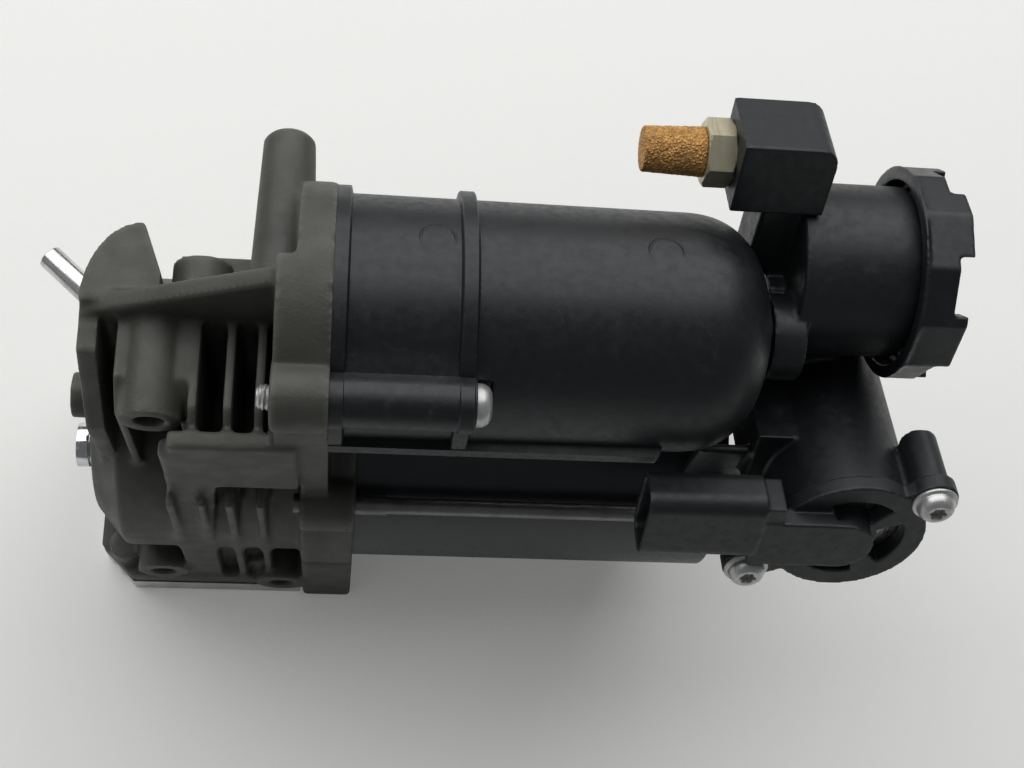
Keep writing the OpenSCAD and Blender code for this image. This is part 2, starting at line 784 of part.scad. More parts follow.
module wrist_pin() color("#d0d2d4") {
    rod_x(cyl_x - rod_w / 2 - web_gap / 2, cyl_x + rod_w / 2 + web_gap / 2, wrist_r, 0, wrist_z);
}
module piston_seal() color("#3f4143") {
    translate([cyl_x, 0, seal_z]) ring(seal_w, bore_r - run_fit, bore_r - seal_t);
}

// Motor
module motor_can() color("#2b2d30") {
    at_crank() ring_x(can_x0 - can_seat, can_x1, can_r, can_r - can_wall);
}
module field_magnets() color("#3a3835") {
    at_crank() difference() {
        ring_x(core_x0 - magnet_over, core_x1 + magnet_over, magnet_r1, magnet_r0);
        for (s = [-1, 1]) rotate([90 * (1 - s), 0, 0])
            box(core_x0 - 2 * magnet_over, core_x1 + 2 * magnet_over, 0, magnet_r1 + overrun,
                -magnet_gap / 2, magnet_gap / 2);
    }
}
module motor_end_cap() color("#2a2c2e") {
    at_crank() difference() {
        union() {
            rod_x(can_x1, can_x1 + end_cap_t, can_r);
            rod_x(can_x1 - end_cap_t, can_x1, can_r - can_wall);
            rod_x(can_x1, can_x1 + end_cap_t + rear_brg_w / 2, rear_brg_r + cover_t);
            tie_places() rod_x(can_x1, can_x1 + end_cap_t, ear_r - edge);
        }
        rod_x(can_x1 - end_cap_t - overrun, can_x1, can_r - can_wall - end_cap_t);
        rod_x(can_x1 - overrun, can_x1 + rear_brg_w, rear_brg_r);
        tie_places() rod_x(can_x1 - overrun, can_x1 + end_cap_t + overrun, tie_d / 2);
    }
}
module rear_bearing() color("#b9bdc0") {
    at_crank() ring_x(can_x1, can_x1 + rear_brg_w, rear_brg_r, shaft_d / 2 + run_fit);
}
module brush_pair() {
    for (a = [0, 180]) rotate([a, 0, 0]) children();
}
module brush_holder() color("#6b4f2e") {
    at_crank() difference() {
        union() {
            ring_x(holder_x0, holder_x0 + holder_t, can_r - can_wall, comm_r + holder_gap);
            brush_pair() box(brush_x - brush_w / 2 - holder_t / 2, holder_x0 + holder_t,
                -brush_w / 2 - holder_t / 2,
                brush_w / 2 + holder_t / 2, comm_r + holder_gap, brush_end);
        }
        brush_pair() box(brush_x - brush_w / 2, brush_x + brush_w / 2, -brush_w / 2, brush_w / 2,
            comm_r, brush_end - holder_t / 2);
    }
}
module carbon_brushes() color("#2e2e2e") {
    at_crank() brush_pair() difference() {
        box(brush_x - brush_w / 2, brush_x + brush_w / 2, -brush_w / 2, brush_w / 2, comm_r * 0.9,
            comm_r + brush_len);
        rod_x(comm_x0 - overrun, comm_x0 + comm_len + overrun, comm_r + run_fit);
    }
}
module brush_springs() color("silver") {
    at_crank() brush_pair() translate([brush_x, 0, comm_r + brush_len + brush_wire_r + run_fit])
        helix(brush_w / 2 - 2 * brush_wire_r, brush_wire_r,
              brush_end - holder_t / 2 - comm_r - brush_len - 2 * brush_wire_r - 2 * run_fit, brush_turns);
}
module tie_rods() color("#3b3d40") {
    at_crank() tie_places() {
        rod_x(-motor_flange_in - tie_tip, can_x0 + tie_thread, tie_d / 2);
        rod_x(can_x0 + tie_thread, can_x1, tie_shank_d / 2);
        rod_x(can_x1, can_x1 + end_cap_t, tie_d / 2);
        translate([can_x1 + end_cap_t, 0, 0]) rotate([0, 90, 0]) cylinder(h = tie_d * 0.8,
            r = tie_d * 0.92, $fn = 6);
    }
}
module armature_core() color("#7c7468") {
    at_crank() difference() {
        rod_x(core_x0, core_x1, core_r);
        rod_x(core_x0 - overrun, core_x1 + overrun, shaft_d / 2);
        for (i = [0:slot_count - 1]) rotate([360 * i / slot_count, 0, 0])
            rod_x(core_x0 - overrun, core_x1 + overrun, slot_r, 0, core_r - 2 * slot_r);
    }
}
module armature_windings() color("#9c4a20") {
    at_crank() {
        for (i = [0:slot_count - 1]) rotate([360 * i / slot_count, 0, 0])
            rod_x(core_x0 - wind_out, core_x1 + wind_out, slot_r - slot_liner, 0, core_r - 2 * slot_r);
        for (x = [core_x0 - wind_len, core_x1]) ring_x(x, x + wind_len, core_r - slot_r, shaft_d);
    }
}
module commutator() color("#b5713a") {
    at_crank() ring_x(comm_x0, comm_x0 + comm_len, comm_r, shaft_d / 2);
}

// Dryer
module canister_shape(r, straight, dome, x0) {
    steps = 12;
    r_end = r * draft_share;
    outline = concat([[0, x0], [r, x0], [r_end, straight]],
        [for (i = [1:steps]) [r_end * cos(90 * i / steps), straight + dome * sin(90 * i / steps)]]);
    rotate([90, 0, 90]) rotate_extrude() polygon([for (p = outline) [max(p[0], 0), p[1]]]);
}
module dryer_canister() color("#17191b") {
    at_dryer() difference() {
        union() {
            canister_shape(dryer_r, dryer_straight, dome_len, 0);
            rod_x(0, ring1_w, ring_r);
            rod_x(ring2_x0, ring2_x0 + ring2_w, ring_r);
            lug_places() rod_x(0, lug_end, lug_r);
            for (a = lug_angles) rotate([a, 0, 0])
                box(0, lug_end - step_t / 2, step_t - lug_r, lug_r - step_t, 0, lug_reach - lug_r / 2);
            // long ledge at the side, and the outlet stub
            box(0, dryer_straight - fin_t, -ledge_reach, 0, -ledge_drop - ledge_t, -ledge_drop);
            rod_x(dryer_straight, stub_x1, stub_r);
        }
        canister_shape(dryer_r - dryer_wall, dryer_straight, dome_len - dryer_wall, -overrun);
        rod_x(dryer_straight, stub_x1 + overrun, stub_r - dryer_wall);
        lug_places() rod_x(-overrun, lug_end + overrun, lug_screw_d / 2);
        lug_places() rod_x(spot_x, lug_end + 2 * ring2_w, lug_head_r + loose_fit);
    }
}
module dryer_seal() color("#1c1c1c") {
    at_dryer() ring_x(0, seal_w, dryer_r - dryer_wall - run_fit, dryer_r - 3 * dryer_wall);
}
bed_r = (dryer_r - dryer_wall) * draft_share - run_fit;
module desiccant() color("#d9d2bf") {
    at_dryer() rod_x(bed_x0, bed_x1, bed_r);
}
module filter_pads() color("#e8e6df") {
    at_dryer() for (x = [bed_x0 - pad_t, bed_x1]) rod_x(x, x + pad_t, bed_r);
}
module dryer_spring() color("silver") {
    at_dryer() translate([seal_w + dryer_wire_r, 0, 0]) rotate([0, 90, 0])
        helix(dryer_r - 3.2 * dryer_wall, dryer_wire_r, bed_x0 - pad_t - seal_w - 2 * dryer_wire_r,
            dryer_turns);
}
module dryer_screws() color("#9a9da0") {
    at_dryer() lug_places() {
        difference() {
            union() {
                rod_x(-flange_t - screw_tip, spot_x, lug_screw_d / 2);
                rod_x(spot_x, spot_x + lug_rim_t, lug_head_r);
                rod_x(spot_x, spot_x + lug_head_t, lug_head_r * 0.72);
            }
            translate([spot_x + lug_rim_t, 0, 0]) rotate([0, 90, 0])
                cylinder(h = lug_head_t, r = lug_head_r * 0.4, $fn = 6);
        }
    }
}

// Vent valve
module valve_body() color("#141618") {
    difference() {
        union() {
            rod_x(stub_x0, cup_x0 + cup_wall, stub_r + cup_wall, 0, dryer_z);
            tilted() {
                rod_x(cup_x0, cup_x1, cup_r, -cup_n, cup_u);
                rod_y(-pot_n1, -pot_n0, pot_r, pot_x, pot_u);
                // web that ties cup, dryer socket and pot together
                box(body_x0, pot_x, -pot_n0 - body_w, -pot_n0 + body_w, pot_u, cup_u);
                box(body_x0, pot_x, -web_n, -pot_n0, pot_u - neck_w / 2, pot_u + neck_w);
                // neck of the silencer block
                box(neck_x0, neck_x0 + neck_w, -neck_n1, -neck_n0, cup_u, block_u0);
                for (l = [lug1, lug2]) {
                    rod_y(-pot_n1, -pot_n1 + vent_lug_len, vent_lug_r, pot_x + l[0], pot_u + l[1]);
                        lug_web(l, -pot_n1 + step_t, -pot_n1 + vent_lug_len * 0.8, vent_lug_r * 0.55,
                            pot_r);
                }
            }
        }
        // dryer stub, cup, pot with its plunger guide, and screw holes
        rod_x(stub_x0 - overrun, stub_x1, stub_r, 0, dryer_z);
        rod_x(stub_x1 - overrun, cup_x0 + cup_wall + overrun, stub_r - cup_wall, 0, dryer_z);
        tilted() {
            rod_x(cup_x0 + 2 * cup_wall, cup_x1 + overrun, cup_r - cup_wall, -cup_n, cup_u);
            rod_y(-pot_n1 - overrun, -coil_n0, pot_r - pot_wall, pot_x, pot_u);
            rod_y(-coil_n0 - overrun, -pot_n0 - 2 * cup_wall, plunger_r + run_fit, pot_x, pot_u);
            for (l = [lug1, lug2])
                rod_y(-pot_n1 - overrun, -pot_n1 + vent_lug_len - edge, vent_screw_d / 2, pot_x + l[0],
                    pot_u + l[1]);
        }
    }
    // tab under the dome's end
    box(tab_x0, body_x0 + cup_wall, tab_y, tab_y + cup_wall, dryer_z - cup_d, dryer_z - cup_r);
}
// Straight web from the pot's axis to a screw lug
module lug_web(l, y0, y1, half, start) {
    len = norm(l);
    translate([pot_x, 0, pot_u]) rotate([0, -atan2(l[1], l[0]), 0]) box(start * 0.8, len, y0, y1,
        -half, half);
}
module solenoid_coil() color("#6a3d1e") {
    tilted() rotate([90, 0, 0]) translate([pot_x, pot_u, coil_n0])
        ring(coil_n1 - coil_n0, pot_r - pot_wall - loose_fit, plunger_r + cup_wall / 2);
}
module coil_core() color("#8f9498") {
    tilted() {
        rod_y(-coil_n1, -core_n0, plunger_r, pot_x, pot_u);
        rod_y(-pot_n1, -coil_n1, pot_r - pot_wall - loose_fit, pot_x, pot_u);
    }
}
module plunger() color("#a5a9ac") {
    tilted() difference() {
        rod_y(-core_n0 + plunger_travel + run_fit, -seat_n1, plunger_r, pot_x, pot_u);
        rod_y(-core_n0, -core_n0 + spring_len + 2 * plunger_travel, plunger_r * 0.65, pot_x, pot_u);
    }
}
module plunger_spring() color("silver") {
    tilted() translate([pot_x, -core_n0 + spring_len, pot_u]) rotate([90, 0, 0])
        helix(plunger_r * 0.45, spring_wire_r, spring_len - spring_wire_r - run_fit, 4);
}
module valve_seat() color("#b08a4a") {
    tilted() rotate([90, 0, 0]) translate([pot_x, pot_u, pot_n0 + 2 * cup_wall])
        ring(seat_n1 - pot_n0 - 2 * cup_wall, plunger_r, plunger_r * 0.35);
}
// Flat tube with rounded corners, smaller all round by the given wall
module shell_form(x0, x1, wall) {
    hn = (shell_n1 - shell_n0) / 2 - wall;
    hu = shell_h / 2 - wall;
    q = shell_round - wall;
    box(x0, x1, -shell_n - hn + q, -shell_n + hn - q, shell_u - hu, shell_u + hu);
    box(x0, x1, -shell_n - hn, -shell_n + hn, shell_u - hu + q, shell_u + hu - q);
    for (a = [-1, 1], b = [-1, 1])
        rod_x(x0, x1, q, -shell_n + a * (hn - q), shell_u + b * (hu - q));
}
module connector_cap() color("#16181a") {
    tilted() difference() {
        union() {
            rod_y(-pot_n1 - disc_t, -pot_n1, disc_r, pot_x, pot_u);
            for (l = [lug1, lug2]) {
                rod_y(-pot_n1 - disc_t, -pot_n1, ear_vent_r, pot_x + l[0], pot_u + l[1]);
                lug_web(l, -pot_n1 - disc_t + step_t, -pot_n1 - step_t, ear_vent_r - step_t, disc_r);
            }
            // tongue that carries the leads across the disc
            box(shell_x1, tongue_x, step_t / 4 - tongue_n, -pot_n1 - disc_t + overrun,
                tongue_u - tongue_r + run_fit, tongue_u + tongue_r - run_fit);
            rod_y(-tongue_n, -pot_n1 - disc_t + overrun, tongue_r, tongue_x, tongue_u);
            // connector shell and the neck that joins it to the disc
            shell_form(shell_x0, shell_x1, 0);
            box(shell_x1 - overrun, shell_x1 + shell_neck, step_t - tongue_n, -shell_n0 - shell_wall,
                tongue_u - tongue_r + step_t, shell_u + shell_h / 2 - shell_wall);
        }
        shell_form(shell_x0 - overrun, shell_x0 + shell_depth, shell_wall);
        pin_pair();
        // windows between the rim and the hub
        for (a = window_angles) rotate([90, 0, 0]) translate([pot_x, pot_u, pot_n1 - overrun])
            rotate([0, 0, a]) intersection() {
                ring(disc_t + 3 * overrun, disc_r - rim_w, disc_r - rim_w - window_w);
                rotate([0, 0, -window_sweep / 2]) cube([disc_r, disc_r, tongue_n]);
                rotate([0, 0, window_sweep / 2 - 90]) cube([disc_r, disc_r, tongue_n]);
            }
        for (l = [lug1, lug2])
            rod_y(-pot_n1 - disc_t - overrun, -pot_n1 + overrun, vent_screw_d / 2, pot_x + l[0],
                pot_u + l[1]);
    }
}
module connector_pins() color("#c9b27a") {
    tilted() pin_pair();
}
module pin_pair() {
    for (s = [-1, 1])
        box(shell_x0 + shell_depth * 0.35, shell_x0 + shell_depth + pin_root, -shell_n - pin_t / 2,
            -shell_n + pin_t / 2,
            shell_u + s * pin_pitch / 2 - pin_w / 2, shell_u + s * pin_pitch / 2 + pin_w / 2);
}
module cap_screws() color("#a3a6a9") {
    tilted() for (l = [lug1, lug2]) translate([pot_x + l[0], -pot_n1 - disc_t,
        pot_u + l[1]]) rotate([90, 0, 0]) difference() {
        union() {
            translate([0, 0, -disc_t - vent_lug_len * 0.6]) cylinder(h = disc_t + vent_lug_len * 0.6,
                r = vent_screw_d / 2);
            cylinder(h = washer_t, r = vent_screw_d * 1.1);
            cylinder(h = pan_t, r = vent_screw_d * 0.9);
            cylinder(h = pan_top, r = vent_screw_d * 0.66);
        }
        translate([0, 0, pan_recess]) cylinder(h = pan_top, r = vent_screw_d * 0.35, $fn = 6);
    }
}
module filter_cup_cap() color("#191b1d") {
    tilted() translate([0, -cup_n, cup_u]) difference() {
        union() {
            translate([cap_x0, 0, 0]) rotate([0, 90, 0]) rotate([0, 0, cap_turn])
                cylinder(h = cap_len, r = cap_r * cap_corner_share, $fn = 12);
            rod_x(cap_x0, cap_x0 + cap_bead, cap_r + cap_bead / 2);
        }
        rod_x(cap_x0 - overrun, cap_x0 + cap_seat, cup_r + loose_fit + cap_lip);
        rod_x(cap_x0 + cap_seat - overrun, cap_x0 + cap_seat + cap_lip, cup_r + loose_fit);
        rod_x(cap_x0 + cap_len - cap_recess, cap_x0 + cap_len + overrun, cap_r - 2 * cap_step);
        for (i = [0:notch_count - 1]) rotate([notch_first - i * notch_turn, 0, 0])
            box(cap_x0 + cap_len - notch_depth, cap_x0 + cap_len + overrun, -notch_w / 2, notch_w / 2,
                cap_r * 0.6, cap_r + overrun);
    }
}
module filter_foam() color("#3d3f3c") {
    tilted() rod_x(cup_x0 + 2 * cup_wall, cup_x1, cup_r - cup_wall - loose_fit, -cup_n, cup_u);
}
module silencer_block() color("#1a1c1e") {
    tilted() difference() {
        union() {
            box(block_x0, block_x1, -block_n1, -block_n0, block_u0, block_u1 - block_round);
            box(block_x0, block_x1 - block_round, -block_n1, -block_n0, block_u0, block_u1);
            rod_y(-block_n1, -block_n0, block_round, block_x1 - block_round, block_u1 - block_round);
        }
        rod_x(block_x0 - overrun, block_x0 + hex_seat, hex_r * 0.6, -block_n, silencer_u);
    }
}
module silencer_hex() color("#b9a878") {
    tilted() translate([0, -block_n, silencer_u]) difference() {
        union() {
            translate([block_x0 - hex_len, 0, 0]) rotate([0, 90, 0]) cylinder(h = hex_len, r = hex_r,
                $fn = 6);
            rod_x(block_x0, block_x0 + hex_seat, hex_r * 0.6);
        }
        rod_x(block_x0 - hex_len - overrun, block_x0 + hex_seat + overrun, silencer_r * 0.6);
    }
}
module silencer_element() color("#a8743a") {
    tilted() translate([block_x0 - hex_len, -block_n, silencer_u]) rotate([0, -90, 0])
        cylinder(h = silencer_len, r1 = silencer_r, r2 = silencer_r * 0.9);
}

crankcase_casting();
cylinder_liner();
head_gasket();
cylinder_head();
reed_valves();
head_screws();
crankcase_cover();
pressure_union();
outlet_tube();
main_bearing();
motor_can();
field_magnets();
motor_end_cap();
rear_bearing();
brush_holder();
carbon_brushes();
brush_springs();
tie_rods();
motor_shaft();
armature_core();
armature_windings();
commutator();
crank();
rod_bearing();
connecting_rod();
wrist_pin();
piston();
piston_seal();
dryer_canister();
dryer_seal();
desiccant();
filter_pads();
dryer_spring();
dryer_screws();
valve_body();
solenoid_coil();
coil_core();
plunger();
plunger_spring();
valve_seat();
connector_cap();
connector_pins();
cap_screws();
filter_cup_cap();
filter_foam();
silencer_block();
silencer_hex();
silencer_element();
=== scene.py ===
"""Air suspension compressor: finishes, soft edges, screws and light over the solid frame."""

import json
import math

import bmesh
import bpy
import numpy as np
from bpy.props import FloatProperty, FloatVectorProperty, PointerProperty
from mathutils import Matrix, Vector


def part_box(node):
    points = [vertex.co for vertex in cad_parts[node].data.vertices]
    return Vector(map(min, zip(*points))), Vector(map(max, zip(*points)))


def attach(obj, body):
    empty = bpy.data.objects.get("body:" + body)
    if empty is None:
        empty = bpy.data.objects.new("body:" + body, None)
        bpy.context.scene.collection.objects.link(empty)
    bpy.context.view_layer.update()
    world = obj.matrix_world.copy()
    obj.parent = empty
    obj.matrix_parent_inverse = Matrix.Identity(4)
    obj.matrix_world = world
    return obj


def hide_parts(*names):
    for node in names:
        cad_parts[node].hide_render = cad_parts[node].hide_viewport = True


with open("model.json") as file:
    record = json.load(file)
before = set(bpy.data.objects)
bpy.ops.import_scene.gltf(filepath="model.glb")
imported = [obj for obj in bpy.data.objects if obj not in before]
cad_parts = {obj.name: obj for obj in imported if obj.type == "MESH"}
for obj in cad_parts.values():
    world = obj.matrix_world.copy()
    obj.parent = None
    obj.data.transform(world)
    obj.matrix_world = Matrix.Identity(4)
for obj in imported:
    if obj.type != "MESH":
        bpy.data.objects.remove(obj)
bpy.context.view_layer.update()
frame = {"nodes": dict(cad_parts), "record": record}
NODES = frame["nodes"]

bl_info = {
    "name": "Air suspension compressor",
    "version": (1, 0, 0),
    "blender": (4, 5, 0),
    "location": "View3D > Sidebar > Compressor",
    "description": "Dresses the compressor's solids with cast, moulded and turned finishes",
    "category": "Object",
}

MM = 0.001


def corners(node):
    """A solid's lowest and highest corners in millimetres, to a tenth."""
    low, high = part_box(node)
    return np.round(np.array(low) / MM, 1), np.round(np.array(high) / MM, 1)


def middle(node):
    """The middle of a solid's box in millimetres, to a tenth."""
    low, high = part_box(node)
    return np.round((np.array(low) + np.array(high)) / 2 / MM, 1)


# Sizes below are in millimetres and turns in degrees; places come from the frame's solids and mounts.
# The dryer is a drafted cylinder along X with two rings, three screw lugs and a dome.
DRYER_Z = middle("desiccant")[2]
DRYER_R = 28.8
DRYER_STRAIGHT = 80.0
DRYER_DOME = 22.5
DRYER_DRAFT = 0.015
FIRST_RING_END = 3.3
SECOND_RING = (27.8, 31.6)
RING_RISE = 2.0
LUG_CIRCLE = 32.2
LUG_R = 6.0
LUG_TURNS = (146, 236, 326)
LUG_LEN = 32.0
WEB_LEN = 31.0
WEB_TURNS = (121, 146)
WEB_FLAT = 28.35
LEDGE_END = 77.0
LEDGE_REACH = 31.0
LEDGE_DROP = (1.6, 5.8)
SCREW_ROOM = (32.3, 35.6)
SCREW_ROOM_R = 5.6
FAR_AWAY = 99.0
MOUTH_R = 26.2
STUB_R = 8.0
STUB_BORE = 5.4
STUB_START = 102.4
STUB_END = corners("dryer_canister")[1][0] - 0.1
STUB_FLOOR = 100.0

# The vent valve has one frame that is tilted about X, with the coil's axis and the neck's axis.
TILT = math.radians(23.0)
ALONG_COIL = np.array([0.0, -math.cos(TILT), math.sin(TILT)])
ALONG_NECK = np.array([0.0, math.sin(TILT), math.cos(TILT)])
CUP = np.array([0.0, *middle("filter_cup_cap")[1:]])
CUP_N = float(CUP @ ALONG_COIL)
CUP_U = float(CUP @ ALONG_NECK)
POT_X = middle("plunger")[0]
POT_U = CUP_U - 41.0
POT_TOP = CUP_N + 47.0

# Screws have pan heads that turn clear of the mouldings.
SCREW_TURNS = (56, 146, 236)
DRYER_SCREW = dict(
    head_r=4.9, head_h=3.2, washer_r=4.95, washer_h=0.3, shank_r=2.95, shank_len=47.5, pitch=1.0)
SCREW_SEAT_X = corners("dryer_screws")[1][0] - 3.6
CAP_SCREW = dict(
    head_r=4.5, head_h=2.9, washer_r=5.45, washer_h=0.9, shank_r=2.4, shank_len=13, pitch=0.8)
CAP_SCREW_PLACES = ((17.2, 14.8), (-22.7, -12.7))
CAP_SCREW_RISE = 4.2

# The silencer is a tapered plug of sintered bronze in a hexagon, whose axis is placed from the cup's.
HEX_START = corners("silencer_hex")[0][0]
HEX_END = corners("silencer_block")[0][0]
STEM_END = corners("silencer_hex")[1][0] - 0.5
HEX_ASIDE = -5.5
HEX_ABOVE = 29.6
HEX_HALF = 7.0
HEX_CORNER = 8.0
STEM_R = 4.8
STEM_BORE = 3.5
PLUG_TIP = corners("silencer_element")[0][0]
PLUG_R = 5.8
PLUG_TIP_R = 5.25
GRAIN = 0.22
GRAIN_DEPTH = 0.09
GRAIN_SEED = 7

# The two ports lie along their mounts.
MOUNTS = {mount["name"]: mount for mount in frame["record"]["mounts"]}
UNION_PLACE = np.array([0.0, *middle("pressure_union")[1:]])
TUBE_R = 3.0
TUBE_BORE = 2.1
TUBE_LEN = 17.0
TUBE_WAY = np.array(MOUNTS["air_tube"]["axis"])
TUBE_PLACE = np.round(np.array(MOUNTS["air_tube"]["pos_m"]) / MM - TUBE_LEN * TUBE_WAY, 1)

# The picture's places are in metres, like Blender's own, and the camera's turns in degrees.
CAMERA_PLACE = (0.0038, -0.1369, 0.4614)
CAMERA_TURN = (70.0, 6.1, 2.3)
PAPER_HALF = 3.0
PAPER_POINTS = 25
PAPER_DROP = 0.0003
AIM = (0.035, 0.0, 0.07)
UNDER_AIM = (0.035, 0.0, 0.0)
# Painted glow of the paper: the distances from under the part over which it grows, and its strengths there.
GLOW_SPAN = (0.32, 1.15)
GLOW_LEVELS = (0.11, 0.66)

# Ejector marks on the dryer and the cup: their middles and radii, in metres, as the finishes read them.
DRYER_MARKS = ((0.0225, 0.0088, 0.1534), (0.0738, 0.0084, 0.1535))
DRYER_MARK_R = 0.0039
CUP_MARK = (0.1175, 0.0275, 0.1449)
CUP_MARK_R = 0.0042


# Sizes and colours

COLOUR = dict(subtype="COLOR", size=3, min=0, max=1)


class CompressorLook(bpy.types.PropertyGroup):
    """Sizes and colours that a user may want to change."""

    cast_colour: FloatVectorProperty(
        name="Casting", description="Coating of the die casting", default=(0.062, 0.061, 0.052), **COLOUR)
    plastic_colour: FloatVectorProperty(
        name="Moulded plastic", description="Dryer, valve and filter cup",
        default=(0.0078, 0.0098, 0.0115), **COLOUR)
    can_colour: FloatVectorProperty(
        name="Motor can", description="Paint of the motor can", default=(0.009, 0.0115, 0.0135), **COLOUR)
    bronze_colour: FloatVectorProperty(
        name="Silencer", description="Sintered bronze of the silencer", default=(0.79, 0.43, 0.135), **COLOUR)
    edge_voxel: FloatProperty(
        name="Edge softness", description="Grain of the mesh that rounds the casting's edges",
        default=0.0008, min=0.0004, max=0.002, unit="LENGTH")


class StudioLook(bpy.types.PropertyGroup):
    """Light, floor and lens of the picture."""

    lens: FloatProperty(
        name="Lens", description="Focal length on a 36 mm sensor", default=54.14, min=20, max=200)
    key_power: FloatProperty(
        name="Window light", description="Large light behind the part", default=18.0, min=0, unit="POWER")
    fill_power: FloatProperty(
        name="Fill light", description="Weak light from the front left", default=0.28, min=0, unit="POWER")
    sky: FloatProperty(
        name="Room light", description="Even light from all round", default=0.13, min=0, max=2)
    floor_colour: FloatVectorProperty(
        name="Floor", description="Pale paper", default=(0.93, 0.93, 0.905), **COLOUR)


# Materials

class Finish:
    """One procedural material: a Principled shader fed by textures on Object coordinates."""

    made = {}

    def __init__(self, name, **sockets):
        self.mat = bpy.data.materials.new(name)
        self.mat.use_nodes = True
        self.tree = self.mat.node_tree
        self.shader = self.tree.nodes["Principled BSDF"]
        self.place = self.tree.nodes.new("ShaderNodeTexCoord").outputs["Object"]
        self.heights = []
        for key, value in sockets.items():
            self.set(key, value)
        Finish.made[name] = self.mat

    def set(self, key, value):
        """Gives a socket of the shader a texture, a colour or a number."""
        socket = self.shader.inputs[key.replace("_", " ")]
        if isinstance(value, bpy.types.NodeSocket):
            self.tree.links.new(value, socket)
        elif isinstance(value, (tuple, list)):
            socket.default_value = (*value, 1.0) if len(value) == 3 else value
        else:
            socket.default_value = value

    def feed(self, socket, value):
        """Links a texture to a socket, or sets it to a number."""
        if isinstance(value, bpy.types.NodeSocket):
            self.tree.links.new(value, socket)
        else:
            socket.default_value = value

    def stretch(self, scale):
        """Object coordinates with a scale for each axis."""
        node = self.tree.nodes.new("ShaderNodeMapping")
        node.vector_type = "POINT"
        self.tree.links.new(self.place, node.inputs["Vector"])
        node.inputs["Scale"].default_value = scale
        return node.outputs["Vector"]

    def noise(self, scale, detail=3.0, roughness=0.55, coords=None, distortion=0.0):
        node = self.tree.nodes.new("ShaderNodeTexNoise")
        self.tree.links.new(coords or self.place, node.inputs["Vector"])
        levels = {"Scale": scale, "Detail": detail, "Roughness": roughness, "Distortion": distortion}
        for key, level in levels.items():
            node.inputs[key].default_value = level
        return node.outputs["Fac"]

    def cells(self, scale):
        """Distance to the nearest of many scattered points."""
        node = self.tree.nodes.new("ShaderNodeTexVoronoi")
        node.feature = "F1"
        self.tree.links.new(self.place, node.inputs["Vector"])
        node.inputs["Scale"].default_value = scale
        return node.outputs["Distance"]

    def span(self, value, low, high, out_low=0.0, out_high=1.0):
        """Smooth step from one level to another as the value goes from low to high."""
        node = self.tree.nodes.new("ShaderNodeMapRange")
        node.interpolation_type = "SMOOTHSTEP"
        self.feed(node.inputs["Value"], value)
        levels = {"From Min": low, "From Max": high, "To Min": out_low, "To Max": out_high}
        for key, level in levels.items():
            node.inputs[key].default_value = level
        return node.outputs["Result"]

    def math(self, operation, a, b=0.0):
        node = self.tree.nodes.new("ShaderNodeMath")
        node.operation = operation
        for socket, value in zip(node.inputs, (a, b)):
            self.feed(socket, value)
        return node.outputs["Value"]

    def blend(self, fac, a, b):
        node = self.tree.nodes.new("ShaderNodeMix")
        node.data_type = "RGBA"
        self.feed(node.inputs["Factor"], fac)
        for socket, value in ((node.inputs["A"], a), (node.inputs["B"], b)):
            if isinstance(value, bpy.types.NodeSocket):
                self.tree.links.new(value, socket)
            else:
                socket.default_value = (*value, 1.0)
        return node.outputs["Result"]

    def edges(self, low=0.5, high=0.62):
        """Worn edges: where the surface curves outwards."""
        node = self.tree.nodes.new("ShaderNodeNewGeometry")
        return self.span(node.outputs["Pointiness"], low, high)

    def away(self, centre):
        """Distance from a point on the part."""
        node = self.tree.nodes.new("ShaderNodeVectorMath")
        node.operation = "DISTANCE"
        self.tree.links.new(self.place, node.inputs[0])
        node.inputs[1].default_value = centre
        return node.outputs["Value"]

    def axis(self, name):
        node = self.tree.nodes.new("ShaderNodeSeparateXYZ")
        self.tree.links.new(self.place, node.inputs[0])
        return node.outputs[name]

    def bump(self, height, depth, strength=1.0):
        """Adds one layer of relief, in metres from low to high."""
        node = self.tree.nodes.new("ShaderNodeBump")
        node.inputs["Strength"].default_value = strength
        node.inputs["Distance"].default_value = depth
        self.feed(node.inputs["Height"], height)
        if self.heights:
            self.tree.links.new(self.heights[-1], node.inputs["Normal"])
        self.heights.append(node.outputs["Normal"])
        self.tree.links.new(node.outputs["Normal"], self.shader.inputs["Normal"])


def shade(colour, gain):
    """A lighter or darker colour of the same hue."""
    return tuple(min(1.0, c * gain) for c in colour)


def cast_finish(name, colour):
    """Coated die casting: soft mottling, sandy skin, rubbed edges."""
    f = Finish(name, Metallic=0.0)
    mottle = f.noise(55, 5, 0.6)
    base = f.blend(f.span(mottle, 0.35, 0.68), shade(colour, 0.82), shade(colour, 1.16))
    base = f.blend(f.math("MULTIPLY", f.edges(0.505, 0.56), 0.5), base, shade(colour, 2.1))
    f.set("Base_Color", base)
    f.set("Roughness", f.span(f.noise(160, 4), 0.3, 0.7, 0.46, 0.62))
    f.set("Specular_IOR_Level", 0.55)
    f.bump(f.noise(1500, 2), 0.00012, 0.7)
    f.bump(f.noise(210, 4), 0.0003, 0.35)


